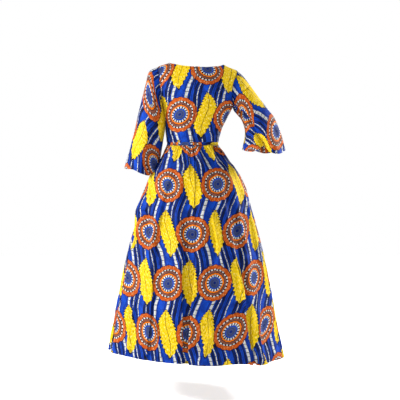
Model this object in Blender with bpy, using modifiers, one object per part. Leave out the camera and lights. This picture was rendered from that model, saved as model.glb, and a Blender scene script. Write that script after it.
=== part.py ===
"""A worn maxi dress: fitted boat-neck bodice, flared three-quarter sleeves, gathered skirt.

Metres, +Z up. The origin lies between the shoulders at the height of the shoulder line.
The front faces -Y, and the wearer's left is +X. The left arm hangs and the right hand
rests on the hip, so the two sleeves take different poses.
"""

import math
from collections import namedtuple

import bmesh
import bpy
from mathutils import Vector

# Cloth and seams: the gap between two panels, the narrow strip beside it that keeps its
# rim square, the share of the next cell that the strip may use, and the halvings that
# find its place
CLOTH_WALL = 0.0018
SEAM_GAP = 0.0003
SEAM_STRIP = 0.0011
STRIP_REACH = 0.9
HALVINGS = 60

# Heights of the bodice
WAIST_Z = -0.363
BAND_HEIGHT = 0.0155
UNDERARM_LEFT_Z = -0.182
UNDERARM_RIGHT_Z = -0.200

# Neckline and shoulder seams: the heights of the neckline's ends, how far its middle dips
# below them, the share of the bodice's depth at which it lies, and how round the dip is.
# The top of the bodice rounds over from a share of the yoke's height, and the armholes
# spread so that a sleeve leaves them with some depth.
NECK_HALF_WIDTH = 0.1243
NECK_LEFT_Z = 0.003
NECK_RIGHT_Z = -0.008
NECK_BACK_DIP = 0.019
NECK_FRONT_DIP = 0.040
NECK_BACK_REACH = 0.80
NECK_FRONT_REACH = 0.86
NECK_DIP_SHAPE = 1.5
SHOULDER_LEFT_Z = -0.016
SHOULDER_RIGHT_Z = -0.034
SHOULDER_ROUND_START = 0.40
ARMHOLE_SPREAD = 0.33

# Bust shaping that the front darts give
BUST_X = 0.080
BUST_Z = -0.245
BUST_WIDTH = 0.050
BUST_DEPTH = 0.020

# A garment's cross-section is a little squarer than an ellipse
SQUARENESS = 2.22

# Hem of the skirt
HEM_LEFT_Z = -1.312
HEM_RIGHT_Z = -1.357

# A sleeve leaves the armhole with a gap and takes its own rings over the first part of
# its length. It keeps clear of the bodice and the skirt, which are looked at in degrees.
SLEEVE_GAP = 0.0002
ARMHOLE_BLEND = 0.30
SLEEVE_CLEARANCE = 0.0025
SIDE_LOOK = 88
SIDE_LOOK_STEP = 4

Section = namedtuple("Section", "z left right back front")
BODICE = [
    Section(z=-0.3785, left=0.137, right=-0.101, back=0.088, front=0.092),
    Section(z=-0.363, left=0.136, right=-0.100, back=0.088, front=0.092),
    Section(z=-0.300, left=0.143, right=-0.118, back=0.093, front=0.098),
    Section(z=-0.250, left=0.150, right=-0.143, back=0.099, front=0.106),
    Section(z=-0.200, left=0.156, right=-0.165, back=0.105, front=0.106),
    Section(z=-0.150, left=0.160, right=-0.162, back=0.108, front=0.102),
    Section(z=-0.100, left=0.166, right=-0.166, back=0.107, front=0.096),
    Section(z=-0.050, left=0.173, right=-0.184, back=0.102, front=0.090),
    Section(z=-0.020, left=0.175, right=-0.188, back=0.098, front=0.086),
    Section(z=0.010, left=0.175, right=-0.188, back=0.096, front=0.084),
]
SKIRT = [
    Section(z=-0.379, left=0.137, right=-0.101, back=0.089, front=0.093),
    Section(z=-0.410, left=0.151, right=-0.124, back=0.108, front=0.106),
    Section(z=-0.450, left=0.170, right=-0.150, back=0.130, front=0.120),
    Section(z=-0.510, left=0.208, right=-0.192, back=0.156, front=0.140),
    Section(z=-0.570, left=0.233, right=-0.222, back=0.174, front=0.158),
    Section(z=-0.660, left=0.262, right=-0.248, back=0.196, front=0.178),
    Section(z=-0.760, left=0.284, right=-0.274, back=0.214, front=0.196),
    Section(z=-0.900, left=0.320, right=-0.307, back=0.242, front=0.222),
    Section(z=-1.090, left=0.358, right=-0.342, back=0.278, front=0.256),
    Section(z=-1.250, left=0.387, right=-0.371, back=0.306, front=0.284),
    Section(z=-1.370, left=0.413, right=-0.399, back=0.326, front=0.302),
]

# Rings of a sleeve: its outer and inner edge seen from behind, how far its middle lies
# back, its half depth, and how far its back edge hangs below its middle
Cuff = namedtuple("Cuff", "down outer_x outer_z inner_x inner_z middle_y half_depth droop")
SLEEVE_LEFT = [
    Cuff(0.00, 0.176, -0.016, 0.1580, -0.183, 0.004, 0.062, 0.000),
    Cuff(0.10, 0.218, -0.037, 0.1560, -0.199, 0.006, 0.066, 0.000),
    Cuff(0.22, 0.2355, -0.098, 0.1510, -0.217, 0.010, 0.066, 0.000),
    Cuff(0.36, 0.2540, -0.172, 0.1440, -0.243, 0.014, 0.066, 0.000),
    Cuff(0.52, 0.2740, -0.252, 0.1430, -0.290, 0.014, 0.068, 0.000),
    Cuff(0.68, 0.2940, -0.335, 0.1530, -0.352, 0.010, 0.072, -0.004),
    Cuff(0.84, 0.3150, -0.412, 0.1650, -0.424, 0.004, 0.080, -0.010),
    Cuff(1.00, 0.3350, -0.479, 0.1760, -0.489, -0.002, 0.088, -0.020),
]
SLEEVE_RIGHT = [
    Cuff(0.00, -0.189, -0.034, -0.1650, -0.201, 0.004, 0.062, 0.000),
    Cuff(0.10, -0.216, -0.058, -0.1700, -0.212, 0.006, 0.066, 0.000),
    Cuff(0.24, -0.250, -0.105, -0.1870, -0.235, 0.010, 0.064, 0.000),
    Cuff(0.38, -0.286, -0.155, -0.2080, -0.262, 0.014, 0.064, 0.000),
    Cuff(0.54, -0.328, -0.208, -0.2220, -0.301, 0.018, 0.068, 0.000),
    Cuff(0.70, -0.368, -0.268, -0.2230, -0.337, 0.020, 0.074, 0.000),
    Cuff(0.85, -0.394, -0.332, -0.2170, -0.367, 0.020, 0.080, -0.006),
    Cuff(1.00, -0.412, -0.396, -0.2110, -0.396, 0.018, 0.086, -0.016),
]

# Soft folds of a sleeve: where each starts and ends down it and around it (0 is the
# underarm, 90 the back, 180 the outer side), its half width there and its depth. Each
# fades over a share of its length, except at the hem if it runs that far.
Crease = namedtuple("Crease", "from_down from_turn to_down to_turn half_turn depth")
CREASE_FADE = 0.15
CREASE_TO_HEM = 0.97
CREASE_ROUNDNESS = 1.2
CREASES_LEFT = [
    Crease(0.16, 20, 0.34, 95, 16, -0.0045),
    Crease(0.30, 30, 0.62, 75, 18, -0.0035),
    Crease(0.55, 150, 1.00, 120, 20, -0.0050),
    Crease(0.60, 60, 1.00, 70, 20, -0.0050),
    Crease(0.50, 260, 1.00, 285, 24, -0.0060),
]
CREASES_RIGHT = [
    Crease(0.06, 16, 0.98, 112, 15, -0.0130),
    Crease(0.10, 40, 0.98, 142, 14, 0.0060),
    Crease(0.12, 25, 0.22, 150, 12, -0.0045),
    Crease(0.50, 290, 1.00, 265, 22, -0.0080),
    Crease(0.40, 215, 1.00, 205, 18, -0.0045),
]

# Folds of the skirt: turn around it (0 is the left side, 90 the back), where down it the
# fold starts, its half width and its height at the waist and at the hem. All rise within
# a small share of the length below the waistband and grow over most of it.
Fold = namedtuple("Fold", "turn start waist_half hem_half waist_height hem_height")
FOLD_RISE = 0.03
FOLD_GROWTH = 0.9
SKIRT_FOLDS = [
    Fold(8, 0.00, 7, 9, 0.0030, 0.014),
    Fold(31, 0.02, 7, 10, 0.0040, 0.018),
    Fold(52, 0.00, 6, 9, 0.0030, 0.013),
    Fold(74, 0.00, 7, 10, 0.0045, 0.019),
    Fold(98, 0.00, 7, 11, 0.0050, 0.016),
    Fold(118, 0.03, 6, 8, 0.0030, 0.014),
    Fold(137, 0.00, 7, 9, 0.0045, 0.018),
    Fold(158, 0.00, 7, 8, 0.0030, 0.012),
    Fold(176, 0.02, 6, 9, 0.0030, 0.015),
    Fold(202, 0.00, 8, 11, 0.0040, 0.018),
    Fold(226, 0.00, 7, 9, 0.0030, 0.014),
    Fold(248, 0.02, 7, 10, 0.0045, 0.019),
    Fold(271, 0.00, 8, 10, 0.0030, 0.014),
    Fold(294, 0.00, 7, 11, 0.0045, 0.018),
    Fold(317, 0.03, 7, 9, 0.0030, 0.015),
    Fold(339, 0.00, 7, 10, 0.0040, 0.017),
]

# The skirt is pinched and lifted a little at the left, toward the back
PINCH_TURN = 22
PINCH_Z = -0.672
PINCH_HEIGHT = 0.016
PINCH_TURN_SPREAD = 8
PINCH_Z_SPREAD = 0.040

# Fastening at the top of the back opening; its place is looked for down half of the yoke
BUTTON_RADIUS = 0.0036
BUTTON_THICKNESS = 0.0040
BUTTON_BELOW_NECK = 0.008
BUTTON_LOOK = -0.5
BUTTON_LIFT = 0.0002
BUTTON_SIDES = 12
BUTTON_RINGS = 8

# How finely each form is drawn
BODICE_TURNS = 6
SHOULDER_STEPS = 3
BODICE_ROWS = [0.0, 0.24, 0.48, 0.70, 0.88, 1.0]
YOKE_ROWS = [0.03, 0.12, 0.26, 0.42, 0.58, 0.73, 0.86, 0.95, 1.0]
SKIRT_STEP = 4
SKIRT_ROWS = [0.0, 0.012, 0.035, 0.07, 0.12, 0.18, 0.26, 0.35, 0.45, 0.56, 0.67, 0.78, 0.89, 1.0]
SLEEVE_ROWS = [0.04, 0.09, 0.16, 0.24, 0.33, 0.42, 0.52, 0.62, 0.72, 0.82, 0.91, 1.0]

PRINT_COLOURS = {
    "bodice": (0.020, 0.090, 0.480, 1.0),
    "band": (0.015, 0.050, 0.300, 1.0),
    "skirt": (0.018, 0.080, 0.450, 1.0),
    "sleeve": (0.024, 0.100, 0.520, 1.0),
    "button": (0.012, 0.014, 0.030, 1.0),
}


def smooth(x):
    """Eases from 0 to 1 as x goes from 0 to 1."""
    x = min(max(x, 0.0), 1.0)
    return x * x * (3.0 - 2.0 * x)


def read_table(rows, key, column, at):
    """Reads a column of a table at any place along its key, on a smooth curve."""
    points = sorted((getattr(row, key), getattr(row, column)) for row in rows)
    at = min(max(at, points[0][0]), points[-1][0])
    i = 0
    while i < len(points) - 2 and at > points[i + 1][0]:
        i += 1
    (x0, y0), (x1, y1) = points[i], points[i + 1]
    before = points[max(i - 1, 0)]
    after = points[min(i + 2, len(points) - 1)]
    slope0 = (y1 - before[1]) / (x1 - before[0])
    slope1 = (after[1] - y0) / (after[0] - x0)
    step = x1 - x0
    t = (at - x0) / step
    start = y0 * (1 + 2 * t) * (1 - t) ** 2 + slope0 * step * t * (1 - t) ** 2
    end = y1 * t * t * (3 - 2 * t) + slope1 * step * t * t * (t - 1)
    return start + end


def section_point(rows, z, across, depth_side, spread=1.0):
    """A point of a section: across runs from -1, right, to 1, left; the side is back or front."""
    left = read_table(rows, "z", "left", z)
    right = read_table(rows, "z", "right", z)
    depth = read_table(rows, "z", depth_side, z)
    x = (left + right) / 2 + across * (left - right) / 2
    full = 1.0 - min(abs(across / spread), 1.0) ** SQUARENESS
    return x, depth * full ** (1.0 / SQUARENESS)


def shoulder_height(x):
    """The height of the shoulder seams, and of the line across the neck between their ends."""
    if abs(x) <= NECK_HALF_WIDTH:
        along = (x + NECK_HALF_WIDTH) / (2 * NECK_HALF_WIDTH)
        return NECK_RIGHT_Z + (NECK_LEFT_Z - NECK_RIGHT_Z) * along
    neck = NECK_LEFT_Z if x > 0 else NECK_RIGHT_Z
    tip = SHOULDER_LEFT_Z if x > 0 else SHOULDER_RIGHT_Z
    tip_x = BODICE[-1].left if x > 0 else -BODICE[-1].right
    along = (abs(x) - NECK_HALF_WIDTH) / (tip_x - NECK_HALF_WIDTH)
    return neck + (tip - neck) * min(along, 1.0)


def neck_fraction(across):
    """0 at the centre of the neckline and 1 at its end; more than 1 on a shoulder."""
    top = BODICE[-1]
    x = (top.left + top.right) / 2 + across * (top.left - top.right) / 2
    return x, abs(x) / NECK_HALF_WIDTH


def bodice_surface(across, up, side):
    """The bodice: up runs from -1 at the waist, through 0 at the underarm, to 1 at the top."""
    underarm = UNDERARM_LEFT_Z if across > 0 else UNDERARM_RIGHT_Z
    middle = (UNDERARM_LEFT_Z + UNDERARM_RIGHT_Z) / 2
    underarm = middle + (underarm - middle) * smooth(abs(across))
    round_share = 1.0
    place = math.sin(across * math.pi / 2)
    spread = 1.0
    if up <= 0:
        z = underarm + (underarm - WAIST_Z) * up
    else:
        x_top, neck = neck_fraction(across)
        dip = NECK_BACK_DIP if side == "back" else NECK_FRONT_DIP
        reach = NECK_BACK_REACH if side == "back" else NECK_FRONT_REACH
        open_neck = math.sqrt(max(1.0 - neck * neck, 0.0))
        top = shoulder_height(x_top) - dip * open_neck**NECK_DIP_SHAPE
        z = underarm + (top - underarm) * up
        place = place + (across - place) * smooth(up)
        spread = 1.0 + ARMHOLE_SPREAD * up
        turn = max(up - SHOULDER_ROUND_START, 0.0) / (1.0 - SHOULDER_ROUND_START)
        held = (reach * open_neck) ** 2
        round_share = math.sqrt(max(1.0 - (1.0 - held) * turn * turn, 0.0))
    x, y = section_point(BODICE, z, place, side, spread)
    if side == "front":
        for bust in (-BUST_X, BUST_X):
            away = ((x - bust) ** 2 + (z - BUST_Z) ** 2) / (2 * BUST_WIDTH**2)
            y += BUST_DEPTH * math.exp(-away) * (1.0 - abs(place) ** 4)
        y = -y
    return Vector((x, y * round_share, z))


def bodice_back(across, up):
    """The back of the bodice."""
    return bodice_surface(across, up, "back")


def bodice_front(across, up):
    """The front of the bodice."""
    return bodice_surface(across, up, "front")


def band_surface(turn, down):
    """The waistband, a ring: turn in degrees from the left side through the back."""
    z = WAIST_Z - SEAM_GAP - down * (BAND_HEIGHT - SEAM_GAP)
    return ring_point(BODICE, turn, z)


def ring_point(rows, turn, z):
    """A point of a whole section at a turn in degrees from the left side through the back."""
    angle = math.radians(turn)
    side = "back" if math.sin(angle) >= 0 else "front"
    power = 2.0 / SQUARENESS
    across = math.copysign(abs(math.cos(angle)) ** power, math.cos(angle))
    left = read_table(rows, "z", "left", z)
    right = read_table(rows, "z", "right", z)
    depth = read_table(rows, "z", side, z)
    x = (left + right) / 2 + across * (left - right) / 2
    y = math.copysign(depth * abs(math.sin(angle)) ** power, math.sin(angle))
    return Vector((x, y, z))


def turn_between(a, b):
    """The angle from b to a, from -180 to 180 degrees."""
    return (a - b + 180.0) % 360.0 - 180.0


def skirt_fold_height(turn, down):
    """How far the folds stand out of the skirt's plain form."""
    height = 0.0
    for fold in SKIRT_FOLDS:
        grown = smooth((down - fold.start) / FOLD_GROWTH)
        half = fold.waist_half + (fold.hem_half - fold.waist_half) * grown
        away = abs(turn_between(turn, fold.turn)) / half
        if away < 1.0:
            tall = fold.waist_height + (fold.hem_height - fold.waist_height) * grown
            height += tall * math.cos(away * math.pi / 2) ** 2
    return height * smooth(down / FOLD_RISE)


def skirt_ends(turn):
    """The heights of the skirt's waist and hem at a turn; the left of the hem is lifted."""
    left_share = (1.0 + math.cos(math.radians(turn))) / 2
    hem = HEM_RIGHT_Z + (HEM_LEFT_Z - HEM_RIGHT_Z) * left_share
    return WAIST_Z - BAND_HEIGHT - SEAM_GAP, hem


def skirt_surface(turn, down):
    """The skirt: turn in degrees from the left side through the back, down from 0 to 1."""
    top, hem = skirt_ends(turn)
    z = top + (hem - top) * down
    point = ring_point(SKIRT, turn, z)
    middle = (read_table(SKIRT, "z", "left", z) + read_table(SKIRT, "z", "right", z)) / 2
    out = Vector((point.x - middle, point.y, 0.0)).normalized()
    lift = skirt_fold_height(turn, down)
    pinch = (turn_between(turn, PINCH_TURN) / PINCH_TURN_SPREAD) ** 2
    pinch += ((z - PINCH_Z) / PINCH_Z_SPREAD) ** 2
    lift += PINCH_HEIGHT * math.exp(-pinch / 2)
    return point + out * lift


def step_in(surface, u, v, du, dv, distance):
    """The point of a surface at a distance from an edge point, toward du, dv."""
    edge = surface(u, v)
    near, far = 0.0, 1.0
    for _ in range(HALVINGS):
        middle = (near + far) / 2
        if (surface(u + du * middle, v + dv * middle) - edge).length < distance:
            near = middle
        else:
            far = middle
    return far


def seam_columns(surface, values, v):
    """Column places along a row, with a narrow strip beside both edges, which are sewn."""
    first, last = values[0], values[-1]
    first_reach = (values[1] - first) * STRIP_REACH
    last_reach = (values[-2] - last) * STRIP_REACH
    starts, ends = [], []
    for distance in (SEAM_GAP / 2, SEAM_GAP / 2 + SEAM_STRIP):
        starts.append(first + first_reach * step_in(surface, first, v, first_reach, 0, distance))
        ends.append(last + last_reach * step_in(surface, last, v, last_reach, 0, distance))
    return starts + list(values[1:-1]) + ends[::-1]


def panel_grid(surface, columns, rows, top_seam=False):
    """Points of a panel, a list for each row."""
    grid = []
    for v in rows:
        grid.append([surface(u, v) for u in seam_columns(surface, columns, v)])
    if top_seam:
        last, before = rows[-1], rows[-2]
        reach = (before - last) * STRIP_REACH
        strip, edge = [], []
        for u in seam_columns(surface, columns, last):
            inner = step_in(surface, u, last, 0, reach, SEAM_GAP / 2 + SEAM_STRIP)
            outer = step_in(surface, u, last, 0, reach, SEAM_GAP / 2)
            strip.append(surface(u, last + reach * inner))
            edge.append(surface(u, last + reach * outer))
        grid = grid[:-1] + [strip, edge]
    return grid


def cloth_object(name, grid, colour, collection, closed=False):
    """Makes an open sheet from rows of points and gives it the cloth's thickness."""
    mesh = bpy.data.meshes.new(name)
    work = bmesh.new()
    lines = [[work.verts.new(point) for point in row] for row in grid]
    for upper, lower in zip(lines, lines[1:]):
        count = len(upper)
        for i in range(count if closed else count - 1):
            j = (i + 1) % count
            work.faces.new((upper[i], lower[i], lower[j], upper[j]))
    work.normal_update()
    work.to_mesh(mesh)
    work.free()
    piece = bpy.data.objects.new(name, mesh)
    collection.objects.link(piece)
    wall = piece.modifiers.new("cloth", "SOLIDIFY")
    wall.thickness = CLOTH_WALL
    wall.offset = -1.0
    wall.use_quality_normals = True
    mesh.materials.append(cloth_material(name, colour))
    mesh.shade_smooth()
    return piece


def cloth_material(name, colour):
    """A plain printed cotton."""
    material = bpy.data.materials.new(name)
    material.use_nodes = True
    shader = material.node_tree.nodes["Principled BSDF"]
    shader.inputs["Base Color"].default_value = colour
    shader.inputs["Roughness"].default_value = 0.78
    shader.inputs["Metallic"].default_value = 0.0
    material.diffuse_color = colour
    return material


def bodice_columns():
    """Places across the bodice, finer toward the ends of the neckline and the sides."""
    top = BODICE[-1]
    half = (top.left - top.right) / 2
    middle = (top.left + top.right) / 2
    neck_left = (NECK_HALF_WIDTH - middle) / half
    neck_right = (-NECK_HALF_WIDTH - middle) / half
    centre = -middle / half
    eased = [math.sin(i / BODICE_TURNS * math.pi / 2) for i in range(BODICE_TURNS + 1)]
    even = [i / SHOULDER_STEPS for i in range(SHOULDER_STEPS + 1)]
    places = [-1.0 + (neck_right + 1.0) * along for along in even[:-1]]
    places += [centre + (neck_right - centre) * along for along in eased[:0:-1]]
    places += [centre + (neck_left - centre) * along for along in eased]
    places += [neck_left + (1.0 - neck_left) * along for along in even[1:]]
    return places, centre


def bodice_rows():
    """Places up the bodice, from the waist to the top."""
    return [low - 1.0 for low in BODICE_ROWS] + YOKE_ROWS


def build_bodice(collection):
    """The front in one piece and the back in two that meet at the centre."""
    columns, centre = bodice_columns()
    left_half = columns[columns.index(centre) :]
    right_half = columns[: columns.index(centre) + 1]
    rows = bodice_rows()
    grids = {
        "bodice_front": panel_grid(bodice_front, columns, rows, top_seam=True)[::-1],
        "bodice_back_left": panel_grid(bodice_back, left_half, rows, top_seam=True),
        "bodice_back_right": panel_grid(bodice_back, right_half, rows, top_seam=True),
    }
    for name, grid in grids.items():
        cloth_object(name, grid, PRINT_COLOURS["bodice"], collection)


def build_ring_panels(surface, rows, step, names, colour, collection):
    """A front over half the ring and two backs over a quarter each."""
    spans = ((180.0, 360.0), (0.0, 90.0), (90.0, 180.0))
    for name, (start, end) in zip(names, spans):
        steps = round((end - start) / step)
        columns = [start + (end - start) * i / steps for i in range(steps + 1)]
        grid = panel_grid(surface, columns, rows)
        cloth_object(name, grid, PRINT_COLOURS[colour], collection)


def armhole_loop(side_sign):
    """The edge of the armhole, up the back from the underarm and down the front."""
    rows = [0.0] + YOKE_ROWS
    back = [bodice_surface(side_sign, v, "back") for v in rows]
    front = [bodice_surface(side_sign, v, "front") for v in rows[1:-1]]
    return back + front[::-1]


def side_reach(point, side_sign):
    """How far the bodice or the skirt reaches sideways at a point's height and depth."""
    reach = None
    middle_turn = 0.0 if side_sign > 0 else 180.0
    before = None
    for step in range(-SIDE_LOOK, SIDE_LOOK + 1, SIDE_LOOK_STEP):
        turn = middle_turn + step
        if point.z > WAIST_Z - BAND_HEIGHT:
            beside = ring_point(BODICE, turn, point.z)
        else:
            top, hem = skirt_ends(turn)
            beside = skirt_surface(turn, (point.z - top) / (hem - top))
        if before is not None and (before.y - point.y) * (beside.y - point.y) <= 0:
            share = (point.y - before.y) / (beside.y - before.y)
            x = (before.x + (beside.x - before.x) * share) * side_sign
            reach = x if reach is None else max(reach, x)
        before = beside
    return reach


def push_clear(point, side_sign):
    """Moves a sleeve's point sideways until it is clear of the bodice or the skirt."""
    reach = side_reach(point, side_sign)
    if reach is None or point.x * side_sign >= reach + SLEEVE_CLEARANCE:
        return point
    return Vector((side_sign * (reach + SLEEVE_CLEARANCE), point.y, point.z))


def crease_depth(creases, turn, down):
    """How far the soft folds of a sleeve move its surface, outward if above 0."""
    moved = 0.0
    for crease in creases:
        along = (down - crease.from_down) / (crease.to_down - crease.from_down)
        centre = crease.from_turn + (crease.to_turn - crease.from_turn) * along
        away = turn_between(turn, centre) / crease.half_turn
        fade = smooth((along + CREASE_FADE) / (2 * CREASE_FADE))
        if crease.to_down < CREASE_TO_HEM:
            fade *= smooth((1.0 + CREASE_FADE - along) / (2 * CREASE_FADE))
        moved += crease.depth * fade * math.exp(-away * away / CREASE_ROUNDNESS)
    return moved


def loop_turns(loop):
    """The turn of each armhole point: 0 at the underarm, 180 at the shoulder seam."""
    lengths = [0.0]
    for a, b in zip(loop, loop[1:] + loop[:1]):
        lengths.append(lengths[-1] + (b - a).length)
    top = lengths[len(YOKE_ROWS)]
    turns = []
    for length in lengths[:-1]:
        if length <= top:
            turns.append(180.0 * length / top)
        else:
            turns.append(180.0 + 180.0 * (length - top) / (lengths[-1] - top))
    return turns


def sleeve_grid(table, creases, side_sign):
    """Rings of a sleeve from the armhole's edge to the open hem."""
    loop = armhole_loop(side_sign)
    aside = Vector((side_sign, 0.0, 0.0))
    grid = [
        [point + aside * SLEEVE_GAP for point in loop],
        [point + aside * (SLEEVE_GAP + SEAM_STRIP) for point in loop],
    ]
    turns = loop_turns(loop)
    first = [ellipse_point(table, turn, 0.0) for turn in turns]
    for down in SLEEVE_ROWS:
        blend = smooth(down / ARMHOLE_BLEND)
        ring = []
        for point, turn, start in zip(loop, turns, first):
            target = ellipse_point(table, turn, down)
            carried = point + (target - start)
            place = carried.lerp(target, blend)
            centre = (ellipse_point(table, 0.0, down) + ellipse_point(table, 180.0, down)) / 2
            out = (place - centre).normalized()
            place += out * crease_depth(creases, turn, down)
            ring.append(push_clear(place, side_sign))
        grid.append(ring)
    return grid if side_sign < 0 else [ring[::-1] for ring in grid]


def ellipse_point(table, turn, down):
    """A point of a sleeve's plain ring: 0 degrees is its inner edge, 90 its back."""
    value = {column: read_table(table, "down", column, down) for column in Cuff._fields[1:]}
    angle = math.radians(turn)
    outer = Vector((value["outer_x"], value["middle_y"], value["outer_z"]))
    inner = Vector((value["inner_x"], value["middle_y"], value["inner_z"]))
    middle = (outer + inner) / 2
    aback = Vector((0.0, value["half_depth"], value["droop"]))
    return middle + (inner - outer) / 2 * math.cos(angle) + aback * math.sin(angle)


def build_button(collection):
    """A small domed button at the top of the back opening."""
    centre = bodice_columns()[1]
    down = BUTTON_LOOK * step_in(bodice_back, centre, 1.0, 0, BUTTON_LOOK, BUTTON_BELOW_NECK)
    place = bodice_back(centre, 1.0 + down)
    slope = bodice_back(centre, 1.0 + down / 2) - bodice_back(centre, 1.0 + down * 3 / 2)
    outward = Vector((1.0, 0.0, 0.0)).cross(slope).normalized()
    if outward.y < 0:
        outward = -outward
    bpy.ops.mesh.primitive_uv_sphere_add(segments=BUTTON_SIDES, ring_count=BUTTON_RINGS, radius=1.0)
    button = bpy.context.object
    button.name = "neck_button"
    button.data.name = "neck_button"
    button.scale = (BUTTON_RADIUS, BUTTON_RADIUS, BUTTON_THICKNESS / 2)
    button.rotation_mode = "QUATERNION"
    button.rotation_quaternion = outward.to_track_quat("Z", "Y")
    button.location = place + outward * (BUTTON_THICKNESS / 2 + SEAM_GAP + BUTTON_LIFT)
    button.data.materials.append(cloth_material("neck_button", PRINT_COLOURS["button"]))
    button.data.shade_smooth()
    for home in list(button.users_collection):
        home.objects.unlink(button)
    collection.objects.link(button)


for old in list(bpy.data.objects):
    bpy.data.objects.remove(old, do_unlink=True)

dress = bpy.data.collections.new("maxi_dress")
bpy.context.scene.collection.children.link(dress)

build_bodice(dress)
build_ring_panels(
    band_surface,
    [0.0, 1.0],
    10,
    ("waistband_front", "waistband_back_left", "waistband_back_right"),
    "band",
    dress,
)
build_ring_panels(
    skirt_surface,
    SKIRT_ROWS,
    SKIRT_STEP,
    ("skirt_front", "skirt_back_left", "skirt_back_right"),
    "skirt",
    dress,
)
for name, table, creases, sign in (
    ("sleeve_left", SLEEVE_LEFT, CREASES_LEFT, 1),
    ("sleeve_right", SLEEVE_RIGHT, CREASES_RIGHT, -1),
):
    grid = sleeve_grid(table, creases, sign)
    cloth_object(name, grid, PRINT_COLOURS["sleeve"], dress, closed=True)
build_button(dress)
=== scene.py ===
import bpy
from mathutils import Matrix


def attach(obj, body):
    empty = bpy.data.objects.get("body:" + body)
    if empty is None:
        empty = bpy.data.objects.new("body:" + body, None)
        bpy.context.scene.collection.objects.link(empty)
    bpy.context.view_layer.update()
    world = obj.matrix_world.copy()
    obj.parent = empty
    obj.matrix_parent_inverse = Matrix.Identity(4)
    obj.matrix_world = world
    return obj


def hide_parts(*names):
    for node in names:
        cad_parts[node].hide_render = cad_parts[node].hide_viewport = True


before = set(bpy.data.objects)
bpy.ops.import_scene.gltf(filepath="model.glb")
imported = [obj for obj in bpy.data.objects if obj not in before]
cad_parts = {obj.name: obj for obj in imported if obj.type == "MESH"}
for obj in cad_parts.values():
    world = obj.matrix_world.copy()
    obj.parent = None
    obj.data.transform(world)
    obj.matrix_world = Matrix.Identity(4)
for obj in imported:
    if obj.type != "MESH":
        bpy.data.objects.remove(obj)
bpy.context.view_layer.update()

import math
from collections import namedtuple
from functools import partial

import bmesh
import bpy
import numpy as np
from mathutils import Vector

# Camera: it stands behind the wearer at chest height and looks slightly down. One pixel of
# the 400-pixel frame is 4.65 mm at the shoulders, which gives its distance and its angle.
PIXEL = 0.00465
CAMERA_DISTANCE = 4.6
CAMERA_Z = -0.409
LOOK_AT = Vector((-0.0163, 0.0, -0.632))


def put(name, data):
    """Puts a new object that holds the given data in the scene."""
    made = bpy.data.objects.new(name, data)
    bpy.context.scene.collection.objects.link(made)
    return made


lens = bpy.data.cameras.new("camera")
lens.sensor_fit = "HORIZONTAL"
lens.angle = 2 * math.atan(200 * PIXEL / CAMERA_DISTANCE)
lens.clip_start = 0.05
camera = put("camera", lens)
camera.location = (LOOK_AT.x, CAMERA_DISTANCE, CAMERA_Z)
camera.rotation_euler = (LOOK_AT - camera.location).to_track_quat("-Z", "Y").to_euler()
bpy.context.scene.camera = camera


# Bodice: a front in one piece and a back in two, cut from wax-printed cotton and shaped
# by bust and waist darts, with a wide boat neck. The shoulder and side seams are pressed
# flat, and a concealed zip joins the backs.
SQUARENESS = 2.22
WAIST_Z = -0.363
BAND_HEIGHT = 0.0155
SEAM_GAP = 0.0003
UNDERARM_LEFT_Z = -0.182
UNDERARM_RIGHT_Z = -0.200
NECK_HALF_WIDTH = 0.1243
NECK_LEFT_Z = 0.003
NECK_RIGHT_Z = -0.008
NECK_DIP = {"back": 0.019, "front": 0.040}
NECK_DIP_SHAPE = 1.5
NECK_REACH = {"back": 0.80, "front": 0.86}
SHOULDER_LEFT_Z = -0.016
SHOULDER_RIGHT_Z = -0.034
SHOULDER_ROUND_START = 0.40
ARMHOLE_SPREAD = 0.33
BUST = {"x": 0.080, "z": -0.245, "width": 0.050, "depth": 0.020}
CLOTH_THICKNESS = 0.0009
SHARP_EDGE = 50
PRINT_UV = "cut"

Section = namedtuple("Section", "z left right back front")
BODICE = [
    Section(z=-0.3785, left=0.137, right=-0.101, back=0.088, front=0.092),
    Section(z=-0.363, left=0.136, right=-0.100, back=0.088, front=0.092),
    Section(z=-0.300, left=0.143, right=-0.118, back=0.093, front=0.098),
    Section(z=-0.250, left=0.150, right=-0.143, back=0.099, front=0.106),
    Section(z=-0.200, left=0.156, right=-0.165, back=0.105, front=0.106),
    Section(z=-0.150, left=0.160, right=-0.162, back=0.108, front=0.102),
    Section(z=-0.100, left=0.166, right=-0.166, back=0.107, front=0.096),
    Section(z=-0.050, left=0.173, right=-0.184, back=0.102, front=0.090),
    Section(z=-0.020, left=0.175, right=-0.188, back=0.098, front=0.086),
    Section(z=0.010, left=0.175, right=-0.188, back=0.096, front=0.084),
]

# Soft creases of the bodice in the X-Z plane: both ends, half width and depth
Pull = namedtuple("Pull", "x0 z0 x1 z1 half_width depth")
BACK_PULLS = [
    Pull(-0.160, -0.196, -0.085, -0.158, 0.010, -0.0044),
    Pull(-0.158, -0.176, -0.105, -0.125, 0.008, -0.0031),
    Pull(0.152, -0.178, 0.098, -0.142, 0.009, -0.0037),
    Pull(0.075, -0.338, -0.020, -0.330, 0.007, -0.0034),
    Pull(0.128, -0.318, 0.045, -0.312, 0.009, -0.0031),
    Pull(-0.090, -0.330, -0.030, -0.347, 0.008, -0.0037),
    Pull(0.000, -0.300, -0.088, -0.285, 0.011, -0.0024),
    Pull(0.060, -0.268, 0.138, -0.248, 0.010, -0.0024),
    Pull(-0.118, -0.268, -0.060, -0.232, 0.010, 0.0024),
]
FRONT_PULLS = [
    Pull(-0.158, -0.190, -0.098, -0.215, 0.010, -0.0037),
    Pull(0.150, -0.176, 0.096, -0.206, 0.010, -0.0037),
    Pull(0.085, -0.338, -0.010, -0.331, 0.008, -0.0031),
    Pull(-0.088, -0.326, -0.020, -0.340, 0.008, -0.0034),
    Pull(0.118, -0.300, 0.060, -0.290, 0.010, -0.0024),
    Pull(-0.030, -0.060, 0.035, -0.075, 0.014, -0.0027),
]


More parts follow.
